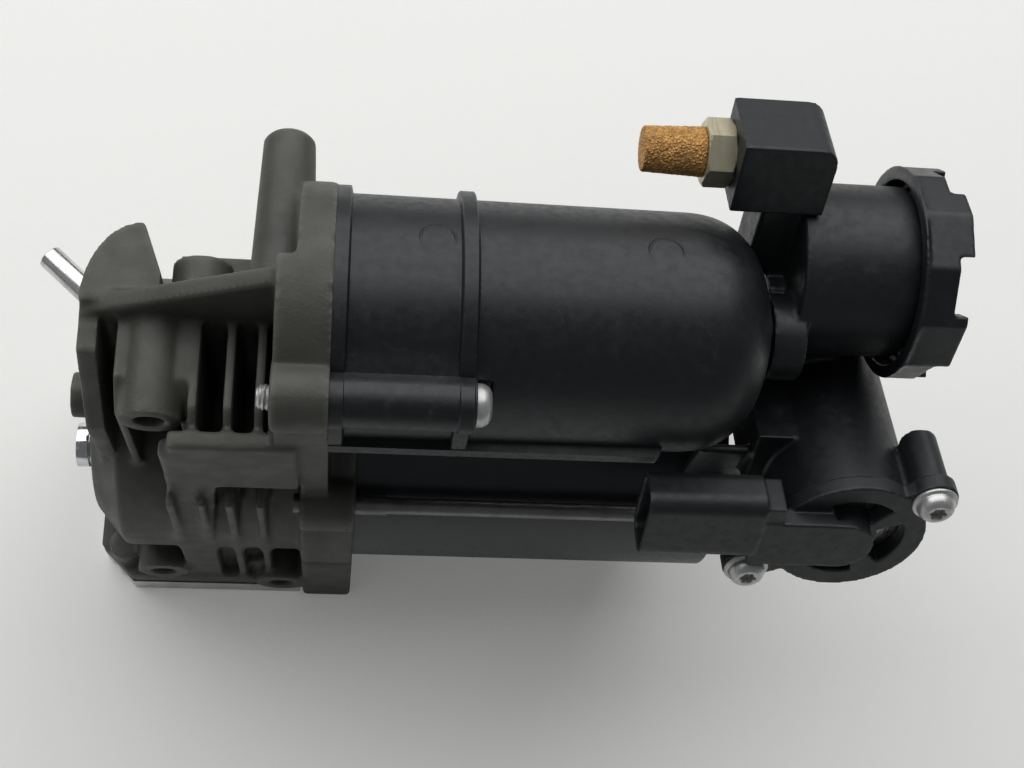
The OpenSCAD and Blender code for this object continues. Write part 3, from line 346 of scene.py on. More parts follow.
def moulded_finish(name, colour, rough=(0.34, 0.5)):
    """Glass-filled plastic: near black, faint grey scuffs, fine moulded grain."""
    f = Finish(name)
    fine = f.span(f.noise(95, 8, 0.72, distortion=1.6), 0.52, 0.74)
    scuff = f.math("MULTIPLY", fine, f.span(f.noise(24, 2), 0.42, 0.6))
    base = f.blend(f.math("MULTIPLY", scuff, 0.55), colour, shade(colour, 4.2))
    base = f.blend(f.math("MULTIPLY", f.edges(0.51, 0.6), 0.35), base, shade(colour, 4.0))
    f.set("Base_Color", base)
    grain = f.noise(420, 5, 0.65)
    f.set("Roughness", f.math("ADD", f.span(grain, 0.3, 0.72, *rough), f.math("MULTIPLY", scuff, 0.12)))
    f.set("Specular_IOR_Level", 0.5)
    f.bump(f.noise(2400, 2), 0.00004, 0.5)
    f.bump(f.noise(130, 3), 0.00016, 0.3)
    return f


def ejector_mark(f, centre, radius):
    """A shallow round ejector mark, of which one side shows, pressed into a moulding."""
    ring = f.math("ABSOLUTE", f.math("SUBTRACT", f.away(centre), radius))
    line = f.span(ring, 0.00012, 0.00042, 1.0, 0.0)
    half = f.span(f.axis("Y"), centre[1] - radius, centre[1] + radius * 0.9)
    f.bump(f.math("MULTIPLY", line, half), -0.00035, 0.8)


def turned_finish(name, colour, rough=0.3, metallic=1.0):
    """Turned or drawn metal: fine rings across X and slight tarnish."""
    f = Finish(name, Metallic=metallic)
    rings = f.noise(1.0, 3, 0.6, coords=f.stretch((2200.0, 70.0, 70.0)))
    dull = f.noise(190, 5, 0.62)
    f.set("Base_Color", f.blend(f.span(dull, 0.35, 0.75), colour, shade(colour, 0.72)))
    ring_rough = f.span(rings, 0.3, 0.7, rough - 0.06, rough + 0.08)
    f.set("Roughness", f.math("ADD", ring_rough, f.span(dull, 0.4, 0.8, 0.0, 0.14)))
    f.bump(rings, 0.00003, 0.5)


def soft_finish(name, colour, scale, depth, rough=0.85):
    """Loose or porous filling: beads, felt, foam or fibre."""
    f = Finish(name)
    cell = f.cells(scale)
    # Painted shade: each cell darkens towards its edge, where its relief is low.
    f.set("Base_Color", f.blend(f.span(cell, 0.1, 0.75), colour, shade(colour, 0.55)))
    f.set("Roughness", f.span(f.noise(scale / 3), 0.3, 0.7, rough - 0.08, rough + 0.08))
    f.bump(f.span(cell, 0.0, 0.7, 1.0, 0.0), depth, 0.9)


def painted_finish(name, colour):
    """Black paint on sheet steel: a thin clear coat over slight unevenness."""
    f = Finish(name, Metallic=0.0)
    f.set("Base_Color", f.blend(f.span(f.noise(70, 4), 0.35, 0.7), colour, shade(colour, 1.5)))
    f.set("Roughness", f.span(f.noise(900, 3), 0.3, 0.7, 0.3, 0.42))
    f.set("Coat_Weight", 0.25)
    f.set("Coat_Roughness", 0.3)
    f.bump(f.noise(700, 2), 0.00005, 0.5)


def sintered_finish(name, colour):
    """Sintered metal: grains with painted shade darkening the gaps between them, in lighter and darker
    patches.
    """
    f = Finish(name, Metallic=0.35)
    grains = f.cells(1500)
    patches = f.span(f.noise(500, 4, 0.7), 0.35, 0.65)
    mixed = f.blend(patches, shade(colour, 0.7), shade(colour, 1.25))
    # Painted shade: the gaps between grains, where the relief is low, are darkened.
    gap_shade = f.span(grains, 0.25, 0.75, 0.0, 0.6)
    f.set("Base_Color", f.blend(gap_shade, mixed, shade(colour, 0.3)))
    f.set("Roughness", f.span(grains, 0.1, 0.7, 0.42, 0.75))
    f.bump(f.span(grains, 0.0, 0.75, 1.0, 0.0), 0.0004, 0.9)


def make_finishes(look):
    """Every finish of the compressor, in the colours that the panel shows."""
    cast = tuple(look.cast_colour)
    black = tuple(look.plastic_colour)
    cast_finish("coated casting", cast)
    shell = moulded_finish("dryer moulding", black)
    for centre in DRYER_MARKS:
        ejector_mark(shell, centre, DRYER_MARK_R)
    moulded_finish("valve moulding", shade(black, 1.05), (0.38, 0.54))
    cup = moulded_finish("cup moulding", black, (0.32, 0.46))
    ejector_mark(cup, CUP_MARK, CUP_MARK_R)
    moulded_finish("connector moulding", shade(black, 1.15), (0.4, 0.56))
    painted_finish("can paint", tuple(look.can_colour))
    turned_finish("machined alloy", (0.80, 0.80, 0.78), 0.36, 0.55)
    turned_finish("bright collar", (0.82, 0.83, 0.84), 0.1)
    turned_finish("drawn tube", (0.72, 0.72, 0.71), 0.18)
    turned_finish("zinc screw", (0.62, 0.62, 0.61), 0.3, 0.7)
    turned_finish("dark screw", (0.24, 0.235, 0.225), 0.38, 0.8)
    turned_finish("ground steel", (0.55, 0.55, 0.56), 0.22)
    turned_finish("plated brass", (0.74, 0.68, 0.49), 0.36, 0.8)
    turned_finish("copper", (0.60, 0.26, 0.13))
    turned_finish("sheet stack", (0.27, 0.26, 0.25), 0.45)
    turned_finish("ferrite", (0.06, 0.058, 0.056), 0.6, 0.1)
    sintered_finish("sintered bronze", tuple(look.bronze_colour))
    soft_finish("desiccant beads", (0.72, 0.68, 0.56), 520, 0.0008, 0.8)
    soft_finish("pressed felt", (0.62, 0.60, 0.54), 1400, 0.0003, 0.9)
    soft_finish("open foam", (0.035, 0.036, 0.034), 900, 0.0006, 0.9)
    soft_finish("fibre sheet", (0.10, 0.095, 0.085), 1600, 0.0001, 0.8)
    soft_finish("rubber", (0.012, 0.012, 0.012), 2200, 0.00004, 0.6)
    soft_finish("carbon", (0.02, 0.02, 0.02), 2600, 0.00003, 0.5)
    soft_finish("phenolic", (0.09, 0.045, 0.02), 1800, 0.00003, 0.5)


NODE_FINISH = {
    "machined alloy": "cylinder_head piston connecting_rod",
    "ground steel": "cylinder_liner reed_valves head_screws main_bearing rod_bearing rear_bearing motor_shaft"
                    " crank wrist_pin dryer_spring brush_springs plunger plunger_spring coil_core",
    "can paint": "motor_can motor_end_cap",
    "coated casting": "crankcase_casting crankcase_cover",
    "dryer moulding": "dryer_canister",
    "valve moulding": "valve_body silencer_block",
    "cup moulding": "filter_cup_cap",
    "connector moulding": "connector_cap",
    "bright collar": "pressure_union",
    "drawn tube": "outlet_tube",
    "dark screw": "tie_rods",
    "zinc screw": "dryer_screws cap_screws",
    "plated brass": "valve_seat connector_pins silencer_hex",
    "sintered bronze": "silencer_element",
    "copper": "armature_windings commutator solenoid_coil",
    "sheet stack": "armature_core",
    "ferrite": "field_magnets",
    "carbon": "carbon_brushes",
    "phenolic": "brush_holder",
    "rubber": "dryer_seal piston_seal",
    "fibre sheet": "head_gasket",
    "desiccant beads": "desiccant",
    "pressed felt": "filter_pads",
    "open foam": "filter_foam",
}


# Surfaces

def turn_to(direction):
    """Rotation whose local X lies along the direction."""
    x = np.asarray(direction, float)
    x = x / np.linalg.norm(x)
    guess = np.array([0.0, 0.0, 1.0]) if abs(x[2]) < 0.9 else np.array([0.0, 1.0, 0.0])
    y = np.cross(guess, x)
    y /= np.linalg.norm(y)
    return np.stack([x, y, np.cross(x, y)], axis=1)


def grid_mesh(name, sheets, finish, body, hard=35.0):
    """Mesh of one or more closed grids of points in millimetres; rows run round, and end rows may shrink to a
    point."""
    verts, faces, start = [], [], 0
    for sheet in sheets:
        rows, cols = sheet.shape[:2]
        index = np.arange(rows * cols).reshape(rows, cols) + start
        right = np.roll(index, -1, axis=1)
        quads = np.stack([index[:-1], index[1:], right[1:], right[:-1]], axis=-1).reshape(-1, 4)
        verts.append(sheet.reshape(-1, 3))
        faces.append(quads)
        start += rows * cols
    mesh = bpy.data.meshes.new(name)
    mesh.from_pydata((np.concatenate(verts) * MM).tolist(), [], np.concatenate(faces).tolist())
    bm = bmesh.new()
    bm.from_mesh(mesh)
    bmesh.ops.remove_doubles(bm, verts=bm.verts, dist=1e-6)
    bmesh.ops.dissolve_degenerate(bm, dist=1e-7, edges=bm.edges)
    bmesh.ops.recalc_face_normals(bm, faces=bm.faces)
    bm.to_mesh(mesh)
    bm.free()
    mesh.shade_smooth()
    mesh.set_sharp_from_angle(angle=math.radians(hard))
    obj = bpy.data.objects.new(name, mesh)
    bpy.context.scene.collection.objects.link(obj)
    mesh.materials.append(Finish.made[finish])
    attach(obj, body)
    return obj


def rounded(corners, radius, steps=4):
    """Profile with each inner corner replaced by a quadratic arc that is tangent to both sides."""
    pts = [np.asarray(corners[0], float)]
    for a, b, c in zip(corners[:-2], corners[1:-1], corners[2:]):
        a, b, c = (np.asarray(p, float) for p in (a, b, c))
        la, lc = np.linalg.norm(a - b), np.linalg.norm(c - b)
        k = min(radius, 0.45 * la, 0.45 * lc)
        p, q = b + (a - b) / la * k, b + (c - b) / lc * k
        t = np.linspace(0, 1, steps + 1)[:, None]
        pts += list((1 - t) ** 2 * p + 2 * t * (1 - t) * b + t ** 2 * q)
    pts.append(np.asarray(corners[-1], float))
    return np.array(pts)


def turned(profile, centre, direction, steps=96, form=None):
    """Surface of revolution: profile points (along, radius) are carried round an axis, and form(angle, along,
    radius) may reshape them."""
    angle = np.linspace(0, 2 * np.pi, steps, endpoint=False)
    along = np.repeat(profile[:, :1], steps, axis=1)
    radius = np.repeat(profile[:, 1:2], steps, axis=1)
    if form:
        along, radius = form(angle[None, :], along, radius)
    local = np.stack([along, radius * np.cos(angle), radius * np.sin(angle)], axis=-1)
    return local @ turn_to(direction).T + np.asarray(centre, float)


def softened(node, name, voxel, passes, finish, body, limit=170000):
    """Copy of a solid with rounded edges: its skin is laid again as small even faces, then relaxed."""
    mesh = NODES[node].data.copy()
    mesh.name = name
    bm = bmesh.new()
    bm.from_mesh(mesh)
    bmesh.ops.remove_doubles(bm, verts=bm.verts, dist=2e-6)
    bm.to_mesh(mesh)
    bm.free()
    obj = bpy.data.objects.new(name, mesh)
    bpy.context.scene.collection.objects.link(obj)
    mesh.materials.clear()
    mesh.materials.append(Finish.made[finish])
    remesh = obj.modifiers.new("Skin", "REMESH")
    remesh.mode = "VOXEL"
    remesh.voxel_size = voxel
    remesh.use_smooth_shade = True
    relax = obj.modifiers.new("Relax", "SMOOTH")
    relax.factor = 0.5
    relax.iterations = passes
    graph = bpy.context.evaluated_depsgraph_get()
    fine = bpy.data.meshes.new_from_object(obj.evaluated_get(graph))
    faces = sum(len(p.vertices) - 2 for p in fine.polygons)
    obj.modifiers.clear()
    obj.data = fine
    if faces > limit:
        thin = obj.modifiers.new("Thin", "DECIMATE")
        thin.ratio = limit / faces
        graph = bpy.context.evaluated_depsgraph_get()
        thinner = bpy.data.meshes.new_from_object(obj.evaluated_get(graph))
        obj.modifiers.clear()
        obj.data = thinner
    obj.data.name = name
    obj.data.shade_smooth()
    obj.data.set_sharp_from_angle(angle=math.radians(38))
    if not obj.data.materials:
        obj.data.materials.append(Finish.made[finish])
    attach(obj, body)
    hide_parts(node)


def smooth_max(a, b, k):
    """The larger of two heights, with a fillet of about k where they meet."""
    h = np.clip(0.5 + 0.5 * (a - b) / k, 0, 1)
    return b * (1 - h) + a * h + k * h * (1 - h)


def ease(x, low, high):
    """Smooth step from 0 to 1 as x goes from low to high: three t squared less two t cubed."""
    t = np.clip((x - low) / (high - low), 0, 1)
    return t * t * (3 - 2 * t)


# Pieces

class COMPRESSOR_OT_casting(bpy.types.Operator):
    """Crankcase casting with fillets and soft edges, as a die casting leaves them"""

    bl_idname = "compressor.casting"
    bl_label = "Crankcase casting"

    def execute(self, context):
        look = context.scene.compressor
        softened("crankcase_casting", "casting_skin", look.edge_voxel, 3, "coated casting", "compressor",
                 190000)
        return {"FINISHED"}


def eased_steps(marks, reach, fine, total):
    """Numbers from 0 to total that lie close together round each mark and further apart elsewhere."""
    base = np.linspace(0, total, fine)
    near = np.concatenate([m + reach * np.linspace(-1, 1, 13) ** 3 for m in marks])
    return np.unique(np.round(np.clip(np.concatenate([base, near]), 0, total), 4))


def dryer_radius(angle, x):
    """Radius of the dryer's shell at an angle and a distance from its mouth: a drafted cylinder that closes
    as an oval dome, raised at the two rings, at the three lugs (the far side of a circle seen from the axis),
    at the flat web beside the front lug and at the long ledge, and cut back where the screw heads turn."""
    draft = 1 - DRYER_DRAFT * np.clip(x / DRYER_STRAIGHT, 0, 1)
    tip = np.clip((x - DRYER_STRAIGHT) / DRYER_DOME, 0, 1)
    shell = DRYER_R * draft * np.clip(1 - tip ** 2.6, 0, 1) ** 0.42

    def within(low, high, soft=0.35):
        """One between two places along X and zero beyond them, with a soft step."""
        return ease(x, low - soft, low + soft) * (1 - ease(x, high - soft, high + soft))

    def raise_by(target, where):
        """The shell lifted to a target radius as far as the mask says."""
        return np.where(where > 0, shell + np.clip(target - shell, 0, None) * where, shell)

    lugs = np.zeros_like(shell)
    room = np.full_like(shell, FAR_AWAY)
    for centre in LUG_TURNS:
        phi = np.abs((np.degrees(angle) - centre + 180) % 360 - 180)
        side = LUG_CIRCLE * np.sin(np.radians(np.minimum(phi, 60)))
        reach = LUG_CIRCLE * np.cos(np.radians(phi))
        arch = reach + np.sqrt(np.clip(LUG_R ** 2 - side ** 2, 0, None))
        flank = 30.9 - 6 * np.clip(side - LUG_R, 0, None)
        lugs = np.maximum(lugs, np.where((side < LUG_R) & (phi < 40), arch, flank))
        dent = reach - np.sqrt(np.clip(SCREW_ROOM_R ** 2 - side ** 2, 0, None))
        room = np.minimum(room, np.where((side < SCREW_ROOM_R) & (phi < 40), dent, FAR_AWAY))
    turn = np.degrees(angle)
    flat = WEB_FLAT / np.cos(np.radians(np.clip(turn - 114, -60, 60)))
    web = np.where((turn > WEB_TURNS[0]) & (turn < WEB_TURNS[1]), flat, 0)
    drop = -np.sin(angle) * shell
    front = (np.cos(angle) < 0) & (drop > LEDGE_DROP[0]) & (drop < LEDGE_DROP[1])
    ledge = np.where(front, LEDGE_REACH / np.maximum(-np.cos(angle), 0.5), 0)
    ring = within(-1, FIRST_RING_END, 0.3) + within(*SECOND_RING, 0.3)
    out = raise_by(DRYER_R + RING_RISE, ring)
    for target, where, fillet in (
            (np.minimum(lugs + 0.55, 38.3), ring, 0.3),
            (lugs, within(-1, LUG_LEN, 0.3), 0.5),
            (web, within(-1, WEB_LEN, 0.3), 0.3),
            (ledge, within(-1, LEDGE_END, 0.6), 0.3)):
        out = smooth_max(out, raise_by(target, where), fillet)
    cut = within(*SCREW_ROOM, 0.25)
    return np.where(cut > 0, np.minimum(out, room * cut + out * (1 - cut)), out)


class COMPRESSOR_OT_dryer(bpy.types.Operator):
    """Dryer canister as one moulded shell with its rings, screw lugs, web, ledge, dome and outlet stub"""

    bl_idname = "compressor.dryer"
    bl_label = "Dryer canister"

    def execute(self, context):
        marks = [c + d for c in LUG_TURNS for d in (-11, 11)] + [122, 180, 183, 191, 135]
        angle = np.radians(eased_steps(marks, 3.0, 300, 360.0))[:-1]
        steps = [0.0, FIRST_RING_END, *SECOND_RING, *SCREW_ROOM, LEDGE_END]
        x = eased_steps(steps, 1.4, 28, DRYER_STRAIGHT)
        dome = DRYER_STRAIGHT + DRYER_DOME * np.sin(np.linspace(0, 0.48 * math.pi, 30))
        x = np.concatenate([x[:-1], dome])
        grid_x, grid_a = np.meshgrid(x, angle, indexing="ij")
        radius = dryer_radius(grid_a, grid_x)
        radius[-1] = np.maximum(radius[-1], STUB_R)
        centre = np.array([0, 0, DRYER_Z])
        one = np.ones_like(angle)

        def ring(along, reach):
            """One circle of the stub or the mouth, with as many points as a row of the shell."""
            return np.stack([along * one, reach * np.cos(angle), reach * np.sin(angle)], axis=-1) + centre

        skin = np.stack([grid_x, radius * np.cos(grid_a), radius * np.sin(grid_a)], axis=-1) + centre
        stub = [ring(*place) for place in ((STUB_START, STUB_R), (STUB_END, STUB_R), (STUB_END, STUB_BORE),
                                           (STUB_FLOOR, STUB_BORE), (STUB_FLOOR, 0.01))]
        mouth = [ring(0, 0.01), ring(0, MOUTH_R)]
        sheet = np.concatenate([np.array(mouth), skin, np.array(stub)])
        obj = grid_mesh("dryer_shell", [sheet], "dryer moulding", "compressor", 32)
        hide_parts("dryer_canister")
        return {"FINISHED"}


class COMPRESSOR_OT_mouldings(bpy.types.Operator):
    """Moulded valve body, connector cap and silencer block with small edge rounds"""

    bl_idname = "compressor.mouldings"
    bl_label = "Mouldings"

    def execute(self, context):
        softened("valve_body", "valve_skin", 0.00055, 3, "valve moulding", "compressor")
        softened("connector_cap", "connector_skin", 0.00036, 2, "connector moulding", "compressor")
        softened("silencer_block", "block_skin", 0.0004, 3, "valve moulding", "compressor", 60000)
        softened("filter_cup_cap", "cup_cap_skin", 0.0005, 3, "cup moulding", "compressor", 120000)
        return {"FINISHED"}


def lobes(angle):
    """Star outline of a screw recess: a radius that swells six times round the circle."""
    return 1 + 0.16 * np.cos(6 * angle)


def pan_screw(centre, direction, head_r, head_h, washer_r, washer_h, shank_r, shank_len, pitch):
    """A flanged pan head with a star recess, and a shank whose thread climbs one pitch a turn."""
    seat = washer_h

    def on_head(*shares):
        """Points as shares of the head's height and radius."""
        return [(seat + head_h * up, head_r * out) for up, out in shares]

    corners = [(0, shank_r), (0, washer_r), (seat, washer_r), (seat, head_r)]
    corners += on_head((0.35, 1), (0.8, 0.86), (1, 0.6), (1, 0.46))
    head = rounded(corners, head_r * 0.3, 5)
    well = np.array(on_head((0.95, 0.42), (0.4, 0.40), (0.36, 0.2), (0.36, 0.0)))

    def cap(angle, along, radius):
        """The recess in the middle of the head becomes a star."""
        inside = (radius < head_r * 0.45) & (along > seat)
        return along, np.where(inside, radius * lobes(angle), radius)

    top = turned(np.concatenate([head, well]), centre, direction, form=cap)
    along = np.arange(0, shank_len, pitch / 8)
    taper = np.clip((shank_len - along) / (1.2 * pitch), 0.0, 1)
    root = np.stack([-along, np.full_like(along, shank_r)], axis=1)
    ends = np.array([(-shank_len, shank_r * 0.7), (-shank_len, 0.0)])

    def thread(angle, depth, radius):
        """The radius falls and rises once a pitch, and the last threads taper."""
        rows = len(along)
        ridge = np.abs(((depth[:rows] / pitch + angle / (2 * np.pi)) % 1.0) - 0.5) * 2
        radius = radius.copy()
        radius[:rows] = radius[:rows] * (1 - 0.14 * ridge) * (0.8 + 0.2 * taper[:, None])
        radius[0] = shank_r
        return depth, radius

    rod = turned(np.concatenate([root, ends]), centre, direction, 40, thread)
    lid = turned(np.array([(0, 0.0), (0, shank_r)]), centre, direction, 40)
    return [top, np.concatenate([lid[:1], rod])]


class COMPRESSOR_OT_screws(bpy.types.Operator):
    """Dryer screws and cap screws with heads, recesses, washers and threads"""

    bl_idname = "compressor.screws"
    bl_label = "Screws and tie rods"

    def execute(self, context):
        sheets = []
        for turn in SCREW_TURNS:
            a = math.radians(turn)
            centre = np.array([SCREW_SEAT_X, -LUG_CIRCLE * math.sin(a), DRYER_Z + LUG_CIRCLE * math.cos(a)])
            sheets += pan_screw(centre, (1, 0, 0), **DRYER_SCREW)
        obj = grid_mesh("dryer_bolts", sheets, "zinc screw", "compressor")
        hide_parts("dryer_screws")
        sheets = []
        for dx, du in CAP_SCREW_PLACES:
            seat = ALONG_NECK * (POT_U + du) + ALONG_COIL * (POT_TOP + CAP_SCREW_RISE)
            sheets += pan_screw(np.array([POT_X + dx, 0, 0]) + seat, ALONG_COIL, **CAP_SCREW)
        obj = grid_mesh("cap_bolts", sheets, "zinc screw", "compressor")
        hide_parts("cap_screws")
        return {"FINISHED"}


class COMPRESSOR_OT_silencer(bpy.types.Operator):
    """Sintered silencer and its plated hexagon"""

    bl_idname = "compressor.silencer"
    bl_label = "Silencer"

    def execute(self, context):
        centre = ALONG_COIL * (CUP_N + HEX_ASIDE) + ALONG_NECK * (CUP_U + HEX_ABOVE)
        rng = np.random.default_rng(GRAIN_SEED)
        sides = [(HEX_START, 0.0), (HEX_START, PLUG_R), (PLUG_TIP + 0.3, PLUG_TIP_R), (PLUG_TIP, 0.0)]
        outline = rounded(sides, 0.5, 5)
        fine = [np.linspace(a, b, max(2, int(np.linalg.norm(b - a) / GRAIN)), endpoint=False)
                for a, b in zip(outline[:-1], outline[1:])]
        fine = np.concatenate(fine + [outline[-1:]])

        def grainy(angle, along, radius):
            """Each point moves in or out by a random step, blurred with its neighbours'."""
            coarse = rng.normal(0, 1, along.shape)
            coarse = (coarse + np.roll(coarse, 1, 1) + np.roll(coarse, 1, 0)) / 3
            keep = np.clip(radius / 2.0, 0, 1)
            return along, radius + GRAIN_DEPTH * coarse * keep

        plug = turned(fine, centre, (1, 0, 0), 150, grainy)
        obj = grid_mesh("silencer_sinter", [plug], "sintered bronze", "compressor", 60)
        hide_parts("silencer_element")

        def hexagon(angle, along, radius):
            """Six flats, with the corners bevelled towards both ends."""
            flat = HEX_HALF / np.cos((angle + np.pi / 6) % (np.pi / 3) - np.pi / 6)
            bevel = np.minimum(along - HEX_START, HEX_END - along) * 1.7 + 7.15
            return along, np.where(radius > 6.5, np.minimum(flat, bevel), radius)

        rows = [(HEX_START, 5.9), (HEX_START, 6.4)]
        rows += [(x, HEX_CORNER) for x in np.linspace(HEX_START, HEX_END, 27)]
        rows += [(HEX_END, STEM_R + 0.2), (HEX_END, STEM_R), (STEM_END, STEM_R)]
        rows += [(STEM_END, STEM_BORE), (HEX_START + 0.2, STEM_BORE), (HEX_START, 5.9)]
        nut = turned(np.array(rows), centre, (1, 0, 0), 144, hexagon)
        obj = grid_mesh("silencer_nut", [nut], "plated brass", "compressor", 28)
        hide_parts("silencer_hex")
        return {"FINISHED"}


class COMPRESSOR_OT_ports(bpy.types.Operator):
    """Bright pressure collar and bare outlet tube with rolled ends"""

    bl_idname = "compressor.ports"
    bl_label = "Ports"

    def execute(self, context):
        shank = [(55.5, 2.8), (55.5, 4.4), (61.5, 4.4), (61.5, 6.0)]
        groove = [(63.6, 6.0), (63.9, 5.5), (64.4, 5.5), (64.7, 6.0)]
        mouth = [(68.0, 6.0), (68.0, 3.9), (66.8, 2.8), (55.5, 2.8)]
        sheet = turned(rounded(shank + groove + mouth, 0.25, 3), UNION_PLACE, (-1, 0, 0))
        obj = grid_mesh("pressure_collar", [sheet], "bright collar", "compressor", 30)
        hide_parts("pressure_union")
        wall = [(0.0, TUBE_BORE), (0.0, TUBE_R), (TUBE_LEN, TUBE_R), (TUBE_LEN, TUBE_BORE), (0.0, TUBE_BORE)]
        sheet = turned(rounded(wall, 0.3, 4), TUBE_PLACE, TUBE_WAY, 72)
        obj = grid_mesh("air_pipe", [sheet], "drawn tube", "compressor", 30)
        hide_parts("outlet_tube")
        return {"FINISHED"}


class COMPRESSOR_OT_finishes(bpy.types.Operator):
    """Makes every finish and gives each solid its own"""

    bl_idname = "compressor.finishes"
    bl_label = "Finishes"

    def execute(self, context):
        make_finishes(context.scene.compressor)
        for finish, names in NODE_FINISH.items():
            for name in names.split():
                mesh = NODES[name].data
                mesh.materials.clear()
                mesh.materials.append(Finish.made[finish])
        missing = set(NODES) - set(" ".join(NODE_FINISH.values()).split())
        if missing:
            raise RuntimeError(f"no finish for {sorted(missing)}")
        return {"FINISHED"}


# Stage

def area_light(name, place, size, power):
    """A rectangular white lamp that faces the part."""
    data = bpy.data.lights.new(name, "AREA")
    data.shape = "RECTANGLE"
    data.size, data.size_y = size
    data.energy = power
    obj = bpy.data.objects.new(name, data)
    bpy.context.scene.collection.objects.link(obj)
    obj.location = place
    obj.rotation_mode = "QUATERNION"
    obj.rotation_quaternion = (Vector(place) - Vector(AIM)).to_track_quat("Z", "Y")


def add_camera(scene, studio):
    """The photograph's camera, from its tilt, yaw and roll."""
    tilt, yaw, roll = (math.radians(a) for a in CAMERA_TURN)
    look = Vector((0, math.cos(tilt), -math.sin(tilt)))
    right, down = Vector((1, 0, 0)), Vector((0, -math.sin(tilt), -math.cos(tilt)))
    ahead = math.cos(yaw) * look + math.sin(yaw) * right
    right = math.cos(yaw) * right - math.sin(yaw) * look
    right, down = (math.cos(roll) * right - math.sin(roll) * down,
                   math.cos(roll) * down + math.sin(roll) * right)
    data = bpy.data.cameras.new("camera")
    data.sensor_width = 36.0
    data.lens = studio.lens
    data.clip_start, data.clip_end = 0.01, 20
    camera = bpy.data.objects.new("camera", data)
    scene.collection.objects.link(camera)
    rows = [(*row, at) for row, at in zip(zip(right, -down, -ahead), CAMERA_PLACE)]
    camera.matrix_world = Matrix((*rows, (0, 0, 0, 1)))
    scene.camera = camera


def add_paper(scene, studio):
    """Pale paper under the part, with painted shade towards the front and a painted glow, so that the camera
    sees it a little lighter than the lamps make it.
    """
    mesh = bpy.data.meshes.new("paper")
    side = np.linspace(-PAPER_HALF, PAPER_HALF, PAPER_POINTS)
    x, y = np.meshgrid(side, side)
    z = np.full_like(x, -PAPER_DROP)
    pts = np.stack([x, y, z], axis=-1)
    index = np.arange(PAPER_POINTS ** 2).reshape(PAPER_POINTS, PAPER_POINTS)
    quads = np.stack([index[:-1, :-1], index[:-1, 1:], index[1:, 1:], index[1:, :-1]], axis=-1)
    mesh.from_pydata(pts.reshape(-1, 3).tolist(), [], quads.reshape(-1, 4).tolist())
    floor = bpy.data.objects.new("paper", mesh)
    scene.collection.objects.link(floor)
    paper = Finish("paper", Roughness=0.9, Specular_IOR_Level=0.2)
    tone = tuple(studio.floor_colour)
    # Painted shade: the paper is darker towards the front, away from the window light.
    front_shade = paper.span(paper.axis("Y"), -0.19, 0.03)
    fibre = paper.blend(paper.span(paper.noise(900, 3), 0.3, 0.7), tone, shade(tone, 0.97))
    paper.set("Base_Color", paper.blend(front_shade, shade(tone, 0.95), fibre))
    paper.bump(paper.noise(1400, 3), 0.00012, 0.5)
    # Painted light: the camera sees the paper glow, lifted more so far from the part, but this lights nothing
    # else.
    path = paper.tree.nodes.new("ShaderNodeLightPath")
    seen = paper.math("MAXIMUM", path.outputs["Is Camera Ray"], path.outputs["Is Transmission Ray"])
    painted_glow = paper.tree.nodes.new("ShaderNodeEmission")
    painted_glow.inputs["Color"].default_value = (1.0, 1.0, 0.96, 1)
    glow_ramp = paper.span(paper.away(UNDER_AIM), *GLOW_SPAN, *GLOW_LEVELS)
    paper.feed(painted_glow.inputs["Strength"], paper.math("MULTIPLY", seen, glow_ramp))
    both = paper.tree.nodes.new("ShaderNodeAddShader")
    paper.tree.links.new(paper.shader.outputs[0], both.inputs[0])
    paper.tree.links.new(painted_glow.outputs[0], both.inputs[1])
    paper.tree.links.new(both.outputs[0], paper.tree.nodes["Material Output"].inputs["Surface"])
    mesh.materials.append(paper.mat)


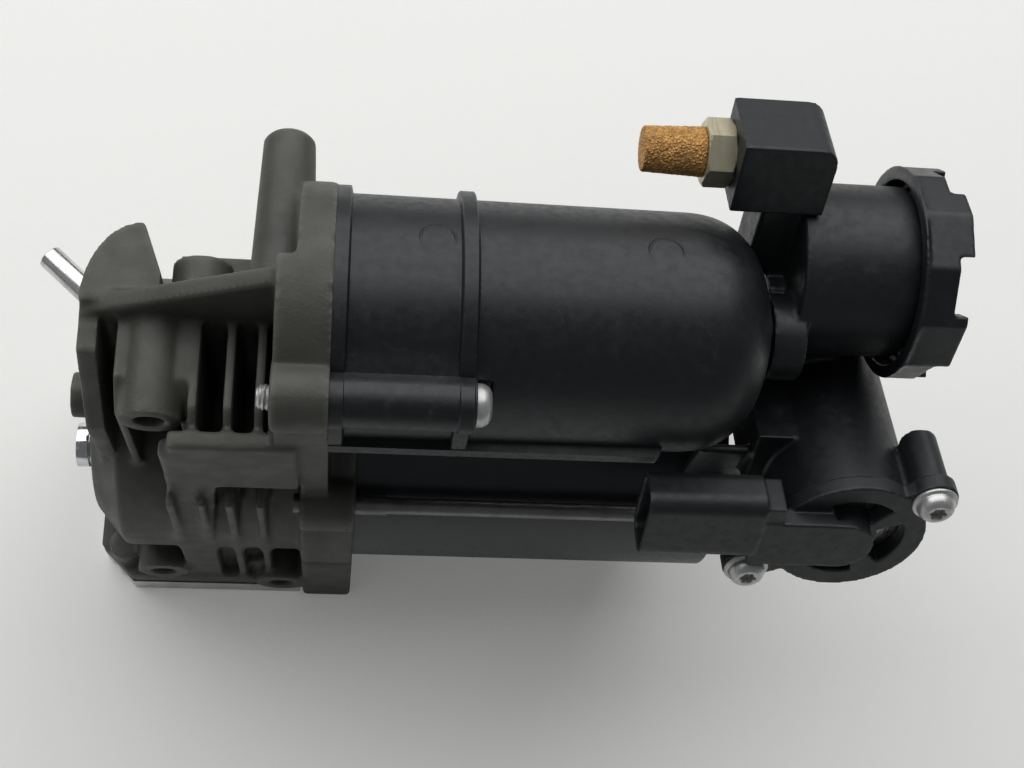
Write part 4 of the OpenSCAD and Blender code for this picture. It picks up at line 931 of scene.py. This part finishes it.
def add_room(scene, studio):
    """Even light from all round, and a plain pale wall for the camera."""
    world = bpy.data.worlds.new("room")
    scene.world = world
    world.use_nodes = True
    tree = world.node_tree
    back = tree.nodes["Background"]
    back.inputs["Color"].default_value = (0.93, 0.96, 1.0, 1)
    back.inputs["Strength"].default_value = studio.sky
    plain = tree.nodes.new("ShaderNodeBackground")
    plain.inputs["Color"].default_value = (0.93, 0.93, 0.92, 1)
    path = tree.nodes.new("ShaderNodeLightPath")
    seen = tree.nodes.new("ShaderNodeMath")
    seen.operation = "MAXIMUM"
    tree.links.new(path.outputs["Is Camera Ray"], seen.inputs[0])
    tree.links.new(path.outputs["Is Transmission Ray"], seen.inputs[1])
    mix = tree.nodes.new("ShaderNodeMixShader")
    tree.links.new(seen.outputs[0], mix.inputs[0])
    tree.links.new(back.outputs[0], mix.inputs[1])
    tree.links.new(plain.outputs[0], mix.inputs[2])
    tree.links.new(mix.outputs[0], tree.nodes["World Output"].inputs["Surface"])


class COMPRESSOR_OT_stage(bpy.types.Operator):
    """Pale paper floor, large window light from behind, and the camera of the photograph"""

    bl_idname = "compressor.stage"
    bl_label = "Stage"

    def execute(self, context):
        scene, studio = context.scene, context.scene.studio
        add_camera(scene, studio)
        add_paper(scene, studio)
        area_light("window", (-0.05, 0.62, 0.95), (2.4, 1.4), studio.key_power)
        area_light("fill", (-0.75, -0.45, 0.6), (0.8, 0.8), studio.fill_power)
        add_room(scene, studio)
        scene.view_settings.view_transform = "Standard"
        return {"FINISHED"}


STEPS = (COMPRESSOR_OT_finishes, COMPRESSOR_OT_casting, COMPRESSOR_OT_dryer, COMPRESSOR_OT_mouldings,
         COMPRESSOR_OT_screws, COMPRESSOR_OT_silencer, COMPRESSOR_OT_ports, COMPRESSOR_OT_stage)


class COMPRESSOR_PT_panel(bpy.types.Panel):
    """Sidebar panel with the sizes, the colours and one button a step"""

    bl_label = "Compressor"
    bl_idname = "COMPRESSOR_PT_panel"
    bl_space_type = "VIEW_3D"
    bl_region_type = "UI"
    bl_category = "Compressor"

    def draw(self, context):
        column = self.layout.column()
        for group in (context.scene.compressor, context.scene.studio):
            for key in group.__annotations__:
                column.prop(group, key)
        for step in STEPS:
            column.operator(step.bl_idname)


CLASSES = (CompressorLook, StudioLook, *STEPS, COMPRESSOR_PT_panel)


def register():
    for cls in CLASSES:
        bpy.utils.register_class(cls)
    bpy.types.Scene.compressor = PointerProperty(type=CompressorLook)
    bpy.types.Scene.studio = PointerProperty(type=StudioLook)


def unregister():
    del bpy.types.Scene.studio
    del bpy.types.Scene.compressor
    for cls in reversed(CLASSES):
        bpy.utils.unregister_class(cls)


def main():
    register()
    for step in STEPS:
        group, name = step.bl_idname.split(".")
        if getattr(getattr(bpy.ops, group), name)() != {"FINISHED"}:
            raise RuntimeError(f"{step.bl_label} did not finish")


if __name__ == "__main__":
    main()
